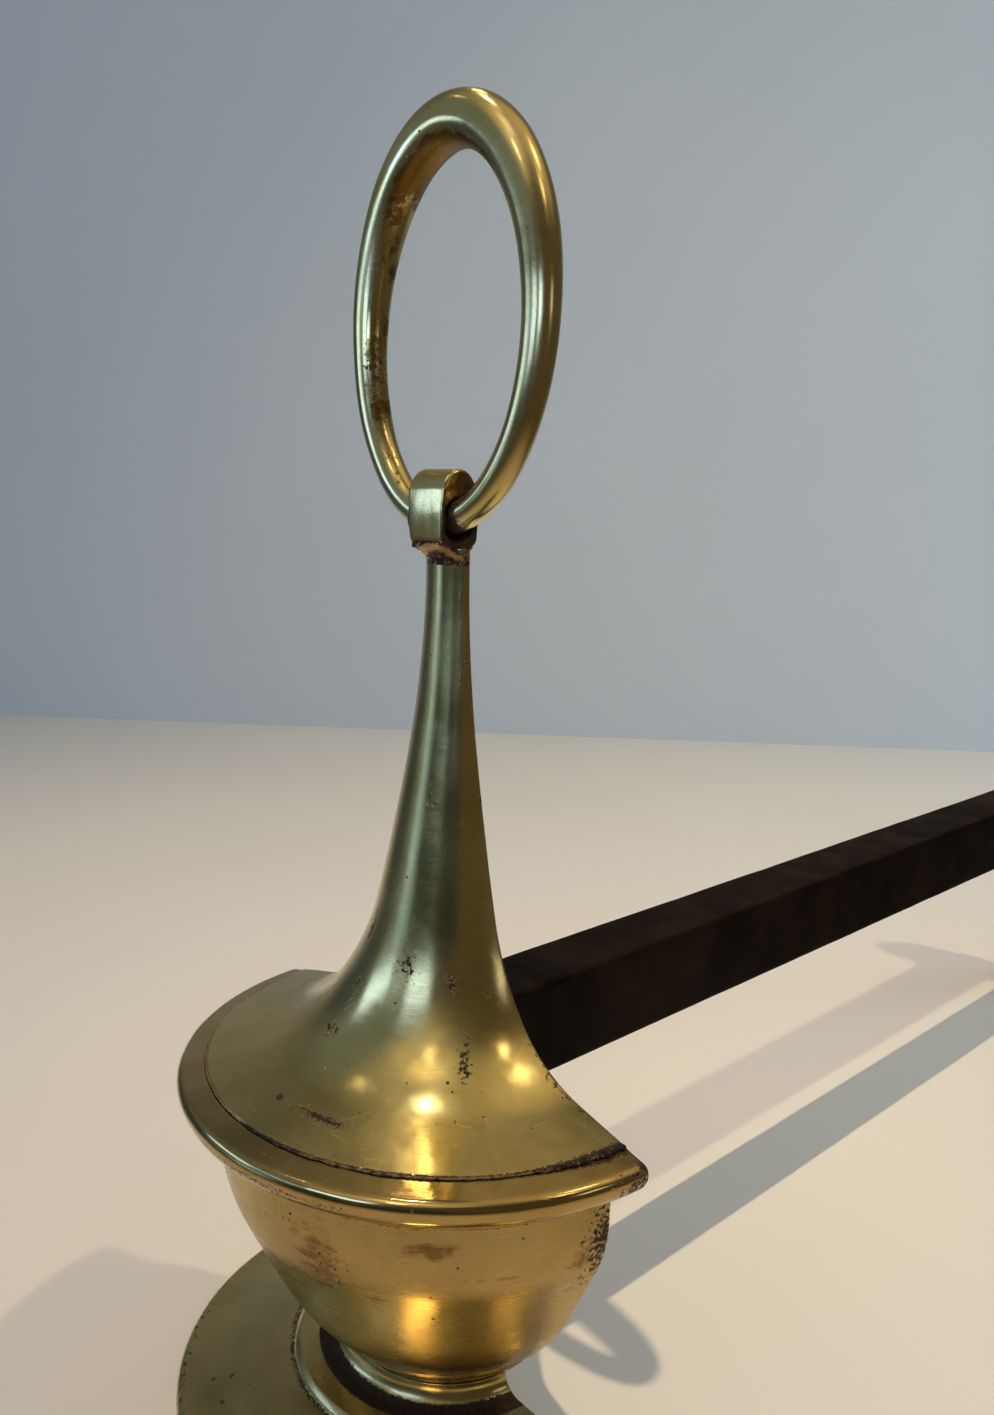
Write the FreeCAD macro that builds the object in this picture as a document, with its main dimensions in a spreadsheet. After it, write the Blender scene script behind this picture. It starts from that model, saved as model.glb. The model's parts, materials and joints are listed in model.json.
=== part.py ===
"""Andiron: half-round brass front with a ring handle, on an iron billet bar.

The brass front is a stack of castings with a flat back: foot, neck collar, bowl and stem bell,
with an eye brazed on the stem and an oval ring loose in the eye. Each casting is drawn against
an iron strap by a stud, a washer and a square nut. The billet bar is shouldered against the
strap and held by a nut on its front tenon; its rear tenon is peened over the rear leg.

Millimetres. X is the width, -Y the front, +Z up. The part stands on Z = 0, and the origin is
under the middle of its length. The castings share one upright axis, the stack axis, and each
casting's own sizes are measured from its own base.
"""
import FreeCAD
import Part
import Sketcher
import math
import os

SIZES = {
    # every casting
    "back_plane": 5.0,
    "casting_wall": 4.0,
    # foot, from the sole up
    "foot_radius": 82.5,
    "foot_edge_chamfer": 1.0,
    "foot_edge_height": 3.6,
    "foot_edge_round": 2.0,
    "dish_width": 16.5,
    "dish_height": 8.0,
    "sole_width": 9.5,
    "step_radius": 45.8,
    "step_height": 14.1,
    "step_run": 2.0,
    "step_riser": 2.1,
    "step_bevel": 1.2,
    "cove_run": 5.4,
    "cove_rise": 5.7,
    "foot_hub_radius": 32.2,
    "foot_boss_radius": 22.0,
    # neck collar, radii beyond the foot's hub
    "collar_height": 8.7,
    "quirk_depth": 0.7,
    "quirk_height": 0.9,
    "swell_foot_run": 0.5,
    "swell_top_run": 5.0,
    "swell_bend": 15.0,
    "swell_top_drop": 2.1,
    "bead_run": 6.4,
    "bead_height": 1.5,
    # bowl, its rim measured down or up from the plane that the bell stands on
    "bowl_height": 77.8,
    "bowl_overhang": 0.6,
    "bowl_low_height": 20.6,
    "bowl_low_inset": 13.6,
    "bowl_mid_height": 42.3,
    "bowl_mid_inset": 3.4,
    "bowl_inset": 4.0,
    "bowl_wall_drop": 19.5,
    "rim_under_drop": 12.8,
    "rim_width": 7.8,
    "rim_foot_drop": 5.8,
    "rim_foot_inset": 2.4,
    "rim_nose_drop": 1.6,
    "rim_top_rise": 1.5,
    "rim_top_inset": 2.0,
    "rim_lip_rise": 3.0,
    "rebate_width": 4.8,
    "seam_gap": 0.5,
    "lug_width": 16.0,
    "lug_depth": 18.0,
    "lug_cover": 5.5,
    # stem bell, radii within its edge or beyond its stem
    "bell_radius": 71.7,
    "bell_edge_height": 3.5,
    "flare_inset": 15.7,
    "flare_height": 7.7,
    "bell_low_inset": 35.7,
    "bell_low_height": 20.9,
    "bell_mid_growth": 13.0,
    "bell_mid_height": 48.0,
    "stem_low_growth": 4.1,
    "stem_low_height": 94.0,
    "stem_radius": 10.1,
    "stem_neck_length": 4.3,
    "bell_height": 149.3,
    "core_room": 12.3,
    "core_top_radius": 26.0,
    # ring eye
    "eye_width": 15.0,
    "eye_floor": 1.4,
    "eye_lip": 0.6,
    "eye_shoulder": 6.8,
    "eye_corner": 2.8,
    "tenon_width": 5.0,
    "tenon_thickness": 2.2,
    "tenon_depth": 7.0,
    "tenon_clearance": 0.1,
    "mortise_end_clearance": 0.3,
    # finial ring
    "ring_half_width": 34.6,
    "ring_half_height": 50.8,
    "ring_foot_radius": 4.3,
    "ring_crown_radius": 7.15,
    "ring_play": 0.3,
    "ring_lean": 1.1,
    # back strap
    "strap_width": 24.0,
    "strap_thickness": 8.0,
    "strap_head": 5.7,
    # studs, washers and nuts
    "stud_radius": 2.5,
    "stud_depth": 12.0,
    "stud_end": 2.0,
    "stud_clearance": 0.25,
    "thread_clearance": 0.05,
    "foot_stud_height": 8.8,
    "bowl_stud_height": 12.3,
    "bell_stud_height": 38.0,
    "washer_radius": 5.0,
    "washer_thickness": 1.2,
    "nut_width": 8.0,
    "nut_thickness": 4.0,
    # billet bar, its top measured from the plane that the bell stands on
    "bar_width": 25.0,
    "bar_height": 30.0,
    "bar_rise": 17.2,
    "bar_length": 443.0,
    "bar_corner": 1.5,
    "bar_tenon_radius": 7.0,
    "bar_tenon_end": 2.0,
    "bar_tenon_clearance": 0.2,
    "bar_washer_radius": 11.0,
    "bar_washer_thickness": 2.0,
    "bar_nut_width": 19.0,
    "bar_nut_thickness": 9.0,
    "peen_overlap": 3.5,
    "peen_height": 3.5,
    "peen_edge": 1.2,
    # rear leg
    "leg_width": 25.0,
    "leg_depth": 26.0,
    "stop_height": 71.5,
    "stop_taper": 30.0,
    "leg_tip": 8.0,
    "leg_sole_chamfer": 2.0,
}

RING_SECTIONS = 24
RING_SWELL_POWER = 2
SAGITTA_MARGIN = 0.05
CUT_MARGIN = 1.0
TINY = 1e-6

doc = FreeCAD.newDocument("andiron")
sheet = doc.addObject("Spreadsheet::Sheet", "Sizes")
for row, (alias, value) in enumerate(SIZES.items(), start=1):
    sheet.set("A%d" % row, alias.replace("_", " "))
    sheet.set("B%d" % row, str(value))
    sheet.setAlias("B%d" % row, alias)
doc.recompute()


class Length:
    """A size known both as a number and as the expression that gives it from the sheet."""

    def __init__(self, value, text):
        self.value = float(value)
        self.text = text

    def combined(self, sign, value, other):
        """A new length from this one and another, joined by a sign."""
        return Length(value, "(%s %s %s)" % (self.text, sign, as_length(other).text))

    def __add__(self, other):
        return self.combined("+", self.value + as_length(other).value, other)

    def __sub__(self, other):
        return self.combined("-", self.value - as_length(other).value, other)

    def __mul__(self, other):
        return self.combined("*", self.value * as_length(other).value, other)

    def __truediv__(self, other):
        return self.combined("/", self.value / as_length(other).value, other)

    def __neg__(self):
        return Length(-self.value, "(-%s)" % self.text)


def as_length(number):
    """A plain number as a Length; a Length stays what it is."""
    if isinstance(number, Length):
        return number
    return Length(number, repr(float(number)))


def size(alias):
    """The size kept in the sheet's cell of that alias."""
    return Length(sheet.get(alias), "Sizes." + alias)


# Lengths that follow from the sizes above, heights from the floor and depths from the stack axis.
hub_radius = size("foot_hub_radius")
foot_height = size("step_height") + size("cove_rise")
bead_radius = hub_radius + size("bead_run")
bowl_base = foot_height + size("collar_height")
rim_height = bowl_base + size("bowl_height")
seat_radius = size("bell_radius") + size("seam_gap")
rim_radius = seat_radius + size("rim_width")
eye_seat = rim_height + size("bell_height")

ring_foot_bend = size("ring_half_width") * size("ring_half_width") / size("ring_half_height")
eye_bend = ring_foot_bend - size("ring_foot_radius")
eye_throat = size("ring_foot_radius") + size("ring_play")
eye_mouth = eye_throat + size("eye_width") * size("eye_width") / (eye_bend * 8) + SAGITTA_MARGIN
eye_half_depth = eye_mouth + size("eye_lip")
eye_axis_height = eye_mouth + size("eye_floor")
eye_axis_depth = (size("stem_radius") + size("back_plane")) / 2
hinge_height = eye_seat + eye_axis_height

strap_back = size("strap_thickness") - size("back_plane")
bar_centre = rim_height + size("bar_rise") - size("bar_height") / 2
core_height = bar_centre - rim_height + size("bar_nut_width") / 2 + size("core_room")
leg_front = strap_back + size("bar_length")
leg_back = leg_front + size("leg_depth")
leg_height = rim_height + size("bar_rise") + size("stop_height")
stack_y = (size("foot_radius") - leg_back - size("peen_height")) / 2
hinge_y = stack_y - eye_axis_depth

stud_bore = size("stud_radius") + size("thread_clearance")
stud_pass = size("stud_radius") + size("stud_clearance")
bar_tenon_bore = size("bar_tenon_radius") + size("bar_tenon_clearance")
stud_heights = {
    "foot": size("foot_stud_height"),
    "collar": foot_height + size("collar_height") / 2,
    "bowl": bowl_base + size("bowl_stud_height"),
    "bell": rim_height + size("bell_stud_height"),
}
strap_height = stud_heights["bell"] + size("strap_head")
nodes = []


def bind(thing, prop, length):
    """Tie a property to the sheet."""
    thing.setExpression(prop, as_length(length).text)


def bind_place(thing, x=0, y=0, z=0, turn=None):
    """Tie an object's place to the sheet, after an optional turn."""
    if turn is not None:
        thing.Placement = FreeCAD.Placement(FreeCAD.Vector(), turn)
    bind(thing, "Placement.Base.x", x)
    bind(thing, "Placement.Base.y", y)
    bind(thing, "Placement.Base.z", z)


def new_body(name, y=0, z=0):
    """An empty body that will be one node of the part."""
    body = doc.addObject("PartDesign::Body", name)
    body.Label = name
    bind_place(body, 0, y, z)
    nodes.append(body)
    return body


def new_sketch(body, name, plane, shift=(0, 0, 0)):
    """A sketch on one of the body's own origin planes, moved along that plane's axes."""
    sketch = body.newObject("Sketcher::SketchObject", name)
    role = plane + "_Plane"
    support = [f for f in body.Origin.OriginFeatures if f.Role == role][0]
    sketch.AttachmentSupport = [(support, "")]
    sketch.MapMode = "FlatFace"
    for axis, amount in zip("xyz", shift):
        bind(sketch, "AttachmentOffset.Base." + axis, amount)
    return sketch


def fix_length(sketch, constraint, length, label):
    """Add a constraint with a length, and tie it to the sheet."""
    index = sketch.addConstraint(constraint)
    sketch.renameConstraint(index, label)
    sketch.setExpression("Constraints." + label, length.text)


def fix_coordinate(sketch, kind, geometry, point, length, label):
    """Hold one coordinate of a point at a length from the sketch's origin."""
    if abs(length.value) < TINY:
        axis = -2 if kind == "DistanceX" else -1
        sketch.addConstraint(Sketcher.Constraint("PointOnObject", geometry, point, axis))
    elif length.value > 0:
        rule = Sketcher.Constraint(kind, -1, 1, geometry, point, length.value)
        fix_length(sketch, rule, length, label)
    else:
        rule = Sketcher.Constraint(kind, geometry, point, -1, 1, -length.value)
        fix_length(sketch, rule, -length, label)


def fix_point(sketch, geometry, point, x, y, label):
    """Hold both coordinates of a point."""
    fix_coordinate(sketch, "DistanceX", geometry, point, x, label + "_across")
    fix_coordinate(sketch, "DistanceY", geometry, point, y, label + "_up")


def arc_between(start, end, heading=None, radius=None):
    """An arc from start to end, leaving along heading, or of a radius (over 0 turns left).

    Returns the arc, its final heading, and whether it runs anticlockwise.
    """
    chord = end - start
    chord_angle = math.atan2(chord.y, chord.x)
    if heading is None:
        half_turn = math.asin(chord.Length / 2 / radius)
    else:
        half_turn = (chord_angle - heading + math.pi) % (2 * math.pi) - math.pi
    side = FreeCAD.Vector(-chord.y, chord.x, 0).normalize()
    rise = chord.Length / 2 * math.tan(half_turn / 2)
    middle = (start + end) * 0.5 - side * rise
    return Part.Arc(start, middle, end), chord_angle + half_turn, half_turn > 0


def outline(body, name, plane, steps, shift=(0, 0, 0)):
    """A closed sketch that visits each step's point in turn and returns to the first.

    A step is (kind, x, y): "line" is straight, "arc" leaves tangent to the step before it, and
    "round" is an arc whose radius is a fourth value, over 0 where it turns left. The first step
    is a line.
    """
    sketch = new_sketch(body, name, plane, shift)
    points = [(as_length(step[1]), as_length(step[2])) for step in steps]
    ends = [FreeCAD.Vector(x.value, y.value, 0) for x, y in points]
    heading = 0.0
    last = None
    for number, step in enumerate(steps):
        start = ends[number - 1]
        end = ends[number]
        if step[0] == "line":
            geometry = sketch.addGeometry(Part.LineSegment(start, end), False)
            heading = math.atan2(end.y - start.y, end.x - start.x)
            near, far = 1, 2
        else:
            if step[0] == "arc":
                arc, heading, anticlockwise = arc_between(start, end, heading=heading)
            else:
                arc, heading, anticlockwise = arc_between(start, end, radius=step[3].value)
            geometry = sketch.addGeometry(arc, False)
            near, far = (1, 2) if anticlockwise else (2, 1)
        if last is not None:
            joint = "Tangent" if step[0] == "arc" else "Coincident"
            sketch.addConstraint(Sketcher.Constraint(joint, last[0], last[1], geometry, near))
        if step[0] == "round":
            bend = step[3] if step[3].value > 0 else -step[3]
            rule = Sketcher.Constraint("Radius", geometry, bend.value)
            fix_length(sketch, rule, bend, "bend%d" % number)
        fix_point(sketch, geometry, far, points[number][0], points[number][1], "point%d" % number)
        last = (geometry, far)
    sketch.addConstraint(Sketcher.Constraint("Coincident", last[0], last[1], 0, 1))
    return sketch


def rectangle(body, name, plane, x_low, x_high, y_low, y_high, shift=(0, 0, 0)):
    """A closed rectangle between two corners."""
    steps = [
        ("line", x_low, y_low),
        ("line", x_high, y_low),
        ("line", x_high, y_high),
        ("line", x_low, y_high),
    ]
    return outline(body, name, plane, steps, shift)


def circle(body, name, plane, x, y, radius, shift=(0, 0, 0)):
    """A circle about a point."""
    sketch = new_sketch(body, name, plane, shift)
    x, y = as_length(x), as_length(y)
    centre = FreeCAD.Vector(x.value, y.value, 0)
    ring = Part.Circle(centre, FreeCAD.Vector(0, 0, 1), radius.value)
    geometry = sketch.addGeometry(ring, False)
    fix_point(sketch, geometry, 3, x, y, "centre")
    fix_length(sketch, Sketcher.Constraint("Radius", geometry, radius.value), radius, "radius")
    return sketch


def finish_feature(body, feature, sketch, grows):
    """Recompute a feature and make sure that it added or removed material."""
    before = 0.0 if body.Shape.isNull() else body.Shape.Volume
    sketch.Visibility = False
    doc.recompute()
    change = body.Shape.Volume - before
    if (change > 0) != grows or abs(change) < TINY:
        raise RuntimeError("%s in %s changed the volume by %.3f" % (feature.Name, body.Label, change))


def pad(body, sketch, length, reverse=False, middle=False):
    """Extrude a sketch along its normal, or against it, or half each way."""
    feature = body.newObject("PartDesign::Pad", "Pad")
    feature.Profile = sketch
    bind(feature, "Length", length)
    feature.Reversed = reverse
    feature.Midplane = middle
    finish_feature(body, feature, sketch, True)


def pocket(body, sketch, length=None, reverse=False):
    """Cut a sketch to a depth, or right through both ways where no depth is given."""
    feature = body.newObject("PartDesign::Pocket", "Pocket")
    feature.Profile = sketch
    if length is None:
        feature.Type = "ThroughAll"
        feature.Midplane = True
    else:
        bind(feature, "Length", length)
        feature.Reversed = reverse
    finish_feature(body, feature, sketch, False)


def revolve(body, sketch, axis="V_Axis"):
    """Turn a sketch right round one of its own axes."""
    feature = body.newObject("PartDesign::Revolution", "Revolution")
    feature.Profile = sketch
    feature.ReferenceAxis = (sketch, [axis])
    feature.Angle = 360
    finish_feature(body, feature, sketch, True)


def groove(body, sketch, axis="V_Axis"):
    """Cut a sketch right round one of its own axes."""
    feature = body.newObject("PartDesign::Groove", "Groove")
    feature.Profile = sketch
    feature.ReferenceAxis = (sketch, [axis])
    feature.Angle = 360
    finish_feature(body, feature, sketch, False)


def flat_back(body, radius):
    """Cut a turned casting of that radius off at the flat back."""
    reach = radius + CUT_MARGIN
    pocket(body, rectangle(body, "BackCut", "XY", -reach, reach, -size("back_plane"), reach))


def stud_hole(body, height):
    """Tap a stud's blind hole into the flat back, at a height in the casting's own frame."""
    hole = circle(body, "StudHole", "XZ", 0, height, stud_bore, (0, 0, size("back_plane")))
    pocket(body, hole, size("stud_depth"), reverse=True)


def make_foot():
    """Half-round dish foot: raised step and cove on top, cored out below, with a stud boss."""
    body = new_body("foot", stack_y, 0)
    radius = size("foot_radius")
    chamfer = size("foot_edge_chamfer")
    edge_round = size("foot_edge_round")
    edge = size("foot_edge_height")
    dish_radius = radius - size("dish_width")
    riser_radius = size("step_radius") + size("step_run")
    riser_foot = size("step_height") - size("step_riser")
    steps = [
        ("line", 0, 0),
        ("line", radius - chamfer, 0),
        ("line", radius, chamfer),
        ("line", radius, edge),
        ("arc", radius - edge_round, edge + edge_round),
        ("arc", dish_radius, size("dish_height")),
        ("arc", riser_radius, riser_foot),
        ("line", riser_radius - size("step_bevel") / 2, size("step_height") - size("step_bevel")),
        ("line", size("step_radius"), size("step_height")),
        ("line", hub_radius + size("cove_run"), size("step_height")),
        ("arc", hub_radius, foot_height),
        ("line", 0, foot_height),
    ]
    revolve(body, outline(body, "Profile", "XZ", steps))
    wall = size("casting_wall")
    core_radius = radius - size("sole_width")
    core_top = size("step_height") - wall
    core = [
        ("line", size("foot_boss_radius"), 0),
        ("line", core_radius, 0),
        ("line", core_radius, edge - chamfer),
        ("line", dish_radius, size("dish_height") - wall),
        ("line", riser_radius, riser_foot - wall),
        ("line", hub_radius + size("cove_run"), core_top),
        ("line", size("foot_boss_radius"), core_top),
    ]
    groove(body, outline(body, "Core", "XZ", core))
    flat_back(body, radius)
    stud_hole(body, stud_heights["foot"])


def make_collar():
    """Solid half-round collar: a quirk on the foot, a swelling cone, and a bead at the bowl."""
    body = new_body("neck_collar", stack_y, foot_height)
    height = size("collar_height")
    quirk_radius = hub_radius - size("quirk_depth")
    swell_top = height - size("swell_top_drop")
    steps = [
        ("line", 0, 0),
        ("line", quirk_radius, 0),
        ("line", quirk_radius, size("quirk_height") / 2),
        ("line", hub_radius + size("swell_foot_run"), size("quirk_height")),
        ("round", hub_radius + size("swell_top_run"), swell_top, size("swell_bend")),
        ("line", bead_radius, height - size("bead_height")),
        ("line", bead_radius, height),
        ("line", 0, height),
    ]
    revolve(body, outline(body, "Profile", "XZ", steps))
    flat_back(body, bead_radius)
    stud_hole(body, height / 2)


def make_bowl():
    """Half-round bowl with a rolled rim, a rebate for the bell's edge and a lug on its floor."""
    body = new_body("bowl", stack_y, bowl_base)
    height = size("bowl_height")
    radius = seat_radius - size("bowl_inset")
    mid_radius = radius - size("bowl_mid_inset")
    low_radius = radius - size("bowl_low_inset")
    base_radius = bead_radius + size("bowl_overhang")
    wall_top = height - size("bowl_wall_drop")
    steps = [
        ("line", 0, height),
        ("line", seat_radius, height),
        ("line", seat_radius, height + size("rim_lip_rise")),
        ("line", rim_radius - size("rim_top_inset"), height + size("rim_top_rise")),
        ("arc", rim_radius, height - size("rim_nose_drop")),
        ("arc", rim_radius - size("rim_foot_inset"), height - size("rim_foot_drop")),
        ("line", radius, height - size("rim_under_drop")),
        ("line", radius, wall_top),
        ("arc", mid_radius, size("bowl_mid_height")),
        ("arc", low_radius, size("bowl_low_height")),
        ("arc", base_radius, 0),
        ("line", 0, 0),
    ]
    revolve(body, outline(body, "Profile", "XZ", steps))
    wall = size("casting_wall")
    mouth_radius = seat_radius - size("rebate_width")
    core = [
        ("line", 0, height),
        ("line", mouth_radius, height),
        ("line", mouth_radius, wall_top + wall),
        ("arc", mid_radius - wall, size("bowl_mid_height") + wall),
        ("arc", low_radius - wall, size("bowl_low_height") + wall),
        ("line", base_radius - wall, wall),
        ("line", 0, wall),
    ]
    groove(body, outline(body, "Core", "XZ", core))
    flat_back(body, rim_radius)
    half_lug = size("lug_width") / 2
    lug_top = size("bowl_stud_height") + size("stud_radius") + size("lug_cover")
    lug = rectangle(body, "Lug", "XZ", -half_lug, half_lug, wall / 2, lug_top,
                    (0, 0, size("back_plane")))
    pad(body, lug, size("lug_depth"))
    stud_hole(body, size("bowl_stud_height"))


def make_bell():
    """Half-round trumpet: thin flared edge, cored out below, solid stem with a mortise."""
    body = new_body("stem_bell", stack_y, rim_height)
    radius = size("bell_radius")
    stem = size("stem_radius")
    height = size("bell_height")
    flare_radius = radius - size("flare_inset")
    low_radius = radius - size("bell_low_inset")
    steps = [
        ("line", 0, height),
        ("line", stem, height),
        ("line", stem, height - size("stem_neck_length")),
        ("arc", stem + size("stem_low_growth"), size("stem_low_height")),
        ("arc", stem + size("bell_mid_growth"), size("bell_mid_height")),
        ("arc", low_radius, size("bell_low_height")),
        ("arc", flare_radius, size("flare_height")),
        ("arc", radius, size("bell_edge_height")),
        ("line", radius, 0),
        ("line", 0, 0),
    ]
    revolve(body, outline(body, "Profile", "XZ", steps))
    wall = size("casting_wall")
    core = [
        ("line", 0, 0),
        ("line", radius - wall, 0),
        ("line", flare_radius - wall, size("flare_height") - wall),
        ("line", low_radius - wall, size("bell_low_height") - wall),
        ("line", size("core_top_radius"), core_height),
        ("line", 0, core_height),
    ]
    groove(body, outline(body, "Core", "XZ", core))
    flat_back(body, radius)
    stud_hole(body, size("bell_stud_height"))
    half_width = size("tenon_width") / 2 + size("tenon_clearance")
    half_depth = size("tenon_thickness") / 2 + size("tenon_clearance")
    mortise = rectangle(body, "Mortise", "XY", -half_width, half_width,
                        -eye_axis_depth - half_depth, -eye_axis_depth + half_depth,
                        (0, 0, height))
    pocket(body, mortise, size("tenon_depth") + size("mortise_end_clearance"))


def make_eye():
    """Stirrup-shaped eye with an hourglass hole that lets the curved ring turn, and a tenon."""
    body = new_body("ring_eye", hinge_y, hinge_height)
    depth = eye_half_depth
    corner = size("eye_corner")
    floor = -eye_axis_height
    shoulder = size("eye_shoulder")
    steps = [
        ("line", depth - corner, floor),
        ("arc", depth, floor + corner),
        ("line", depth, shoulder),
        ("arc", -depth, shoulder),
        ("line", -depth, floor + corner),
        ("arc", -depth + corner, floor),
    ]
    pad(body, outline(body, "Side", "YZ", steps), size("eye_width"), middle=True)
    half = size("eye_width") / 2
    hole = [
        ("line", -half, 0),
        ("line", half, 0),
        ("line", half, eye_mouth),
        ("round", -half, eye_mouth, -eye_bend),
    ]
    groove(body, outline(body, "Hole", "XZ", hole), "H_Axis")
    half_width = size("tenon_width") / 2
    half_depth = size("tenon_thickness") / 2
    tenon = rectangle(body, "Tenon", "XY", -half_width, half_width, -half_depth, half_depth,
                      (0, 0, floor))
    pad(body, tenon, size("tenon_depth"), reverse=True)


def make_ring():
    """Oval ring of round section that swells towards its crown, lofted round its centre line.

    The centre line is an ellipse in the X-Z plane whose lowest point is the hinge. The section's
    radius grows from the foot to the crown with the square of the height. At rest the ring leans
    a little to the back, about the hinge.
    """
    half_width = size("ring_half_width").value
    half_height = size("ring_half_height").value
    foot = size("ring_foot_radius").value
    swell = size("ring_crown_radius").value - foot
    sections = []
    for number in range(RING_SECTIONS):
        turn = 2 * math.pi * number / RING_SECTIONS - math.pi / 2
        height = (1 + math.sin(turn)) / 2
        centre = FreeCAD.Vector(half_width * math.cos(turn), 0, 2 * half_height * height)
        along = FreeCAD.Vector(-half_width * math.sin(turn), 0, half_height * math.cos(turn))
        radius = foot + swell * height ** RING_SWELL_POWER
        facing = FreeCAD.Rotation(FreeCAD.Vector(0, 1, 0), FreeCAD.Vector(), along, "ZXY")
        loop = Part.Circle(FreeCAD.Vector(), FreeCAD.Vector(0, 0, 1), radius).toShape()
        loop.Placement = FreeCAD.Placement(centre, facing)
        sections.append(Part.Wire([loop]))
    ring = doc.addObject("Part::Feature", "finial_ring")
    ring.Shape = Part.makeLoft(sections, True, False, True)
    lean = FreeCAD.Rotation(FreeCAD.Vector(-1, 0, 0), size("ring_lean").value)
    bind_place(ring, 0, hinge_y, hinge_height, lean)
    bind(ring, "Placement.Rotation.Angle", size("ring_lean"))
    nodes.append(ring)


def make_strap():
    """Iron upright behind the castings, from the floor to the bell, drilled for the studs."""
    body = new_body("back_strap", stack_y, 0)
    front = (0, 0, size("back_plane"))
    half = size("strap_width") / 2
    plate = rectangle(body, "Plate", "XZ", -half, half, 0, strap_height, front)
    pad(body, plate, size("strap_thickness"), reverse=True)
    for name, height in stud_heights.items():
        pocket(body, circle(body, "StudHole_" + name, "XZ", 0, height, stud_pass, front))
    pocket(body, circle(body, "TenonHole", "XZ", 0, bar_centre, bar_tenon_bore, front))


def make_bar():
    """Billet bar with soft corners, a round tenon at each end and a peened head behind."""
    body = new_body("billet_bar", stack_y, bar_centre)
    half_width = size("bar_width") / 2
    half_height = size("bar_height") / 2
    corner = size("bar_corner")
    steps = [
        ("line", half_width - corner, -half_height),
        ("arc", half_width, -half_height + corner),
        ("line", half_width, half_height - corner),
        ("arc", half_width - corner, half_height),
        ("line", -half_width + corner, half_height),
        ("arc", -half_width, half_height - corner),
        ("line", -half_width, -half_height + corner),
        ("arc", -half_width + corner, -half_height),
    ]
    section = outline(body, "Section", "XZ", steps, (0, 0, -strap_back))
    pad(body, section, size("bar_length"), reverse=True)
    tenon = size("bar_tenon_radius")
    front_reach = size("strap_thickness") + size("bar_washer_thickness")
    front_reach = front_reach + size("bar_nut_thickness") + size("bar_tenon_end")
    front = circle(body, "FrontTenon", "XZ", 0, 0, tenon, (0, 0, -strap_back))
    pad(body, front, front_reach)
    rear = circle(body, "RearTenon", "XZ", 0, 0, tenon, (0, 0, -leg_front))
    pad(body, rear, size("leg_depth"), reverse=True)
    head_radius = tenon + size("peen_overlap")
    head = [
        ("line", 0, 0),
        ("line", size("peen_height"), 0),
        ("line", size("peen_height"), size("peen_overlap")),
        ("line", size("peen_edge"), head_radius),
        ("line", 0, head_radius),
    ]
    revolve(body, outline(body, "Peen", "YZ", head, (leg_back, 0, 0)), "H_Axis")


def make_leg():
    """Rear leg: a square upright that stands on the floor and ends in a blunt log stop."""
    body = new_body("rear_leg", stack_y, 0)
    middle = (leg_front + leg_back) / 2
    half_tip = size("leg_tip") / 2
    sole = size("leg_sole_chamfer")
    rise = size("stop_taper")
    run = size("leg_depth") / 2 - half_tip
    taper_bend = (rise * rise + run * run) / (run * 2)
    steps = [
        ("line", leg_front + sole, 0),
        ("line", leg_back - sole, 0),
        ("line", leg_back, sole),
        ("line", leg_back, leg_height - rise),
        ("arc", middle + half_tip, leg_height),
        ("line", middle - half_tip, leg_height),
        ("round", leg_front, leg_height - rise, taper_bend),
        ("line", leg_front, sole),
    ]
    pad(body, outline(body, "Side", "YZ", steps), size("leg_width"), middle=True)
    hole = circle(body, "TenonHole", "XZ", 0, bar_centre, bar_tenon_bore, (0, 0, -leg_front))
    pocket(body, hole)


def cylinder(name, radius, length, y, z):
    """A cylinder along +Y whose near end is at y."""
    rod = doc.addObject("Part::Cylinder", name)
    bind(rod, "Radius", radius)
    bind(rod, "Height", length)
    bind_place(rod, 0, y, z, FreeCAD.Rotation(FreeCAD.Vector(1, 0, 0), -90))
    return rod


def drilled(name, blank, bore, thickness, y, z):
    """A blank with a round hole along Y."""
    cut = doc.addObject("Part::Cut", name)
    cut.Base = blank
    cut.Tool = cylinder(name + "_bore", bore, thickness, y, z)
    return cut


def washer(name, radius, bore, thickness, y, z):
    """A flat washer about Y."""
    return drilled(name, cylinder(name + "_disc", radius, thickness, y, z), bore, thickness, y, z)


def square_nut(name, width, bore, thickness, y, z):
    """A square nut about Y."""
    block = doc.addObject("Part::Box", name + "_block")
    bind(block, "Length", width)
    bind(block, "Width", thickness)
    bind(block, "Height", width)
    bind_place(block, -width / 2, y, z - width / 2)
    return drilled(name, block, bore, thickness, y, z)


def group(name, members):
    """One node that holds identical fasteners as separate solids."""
    compound = doc.addObject("Part::Compound", name)
    compound.Links = members
    nodes.append(compound)


def make_stud_sets():
    """The stud, washer and square nut of each casting."""
    stud_start = stack_y - size("back_plane") - size("stud_depth")
    stud_length = size("stud_depth") + size("strap_thickness") + size("washer_thickness")
    stud_length = stud_length + size("nut_thickness") + size("stud_end")
    washer_seat = stack_y + strap_back
    nut_seat = washer_seat + size("washer_thickness")
    studs, washers, nuts = [], [], []
    for name, height in stud_heights.items():
        studs.append(cylinder(name + "_stud", size("stud_radius"), stud_length, stud_start, height))
        washers.append(washer(name + "_washer", size("washer_radius"), stud_pass,
                              size("washer_thickness"), washer_seat, height))
        nuts.append(square_nut(name + "_nut", size("nut_width"), stud_bore,
                               size("nut_thickness"), nut_seat, height))
    group("casting_studs", studs)
    group("stud_washers", washers)
    group("stud_nuts", nuts)


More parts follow.
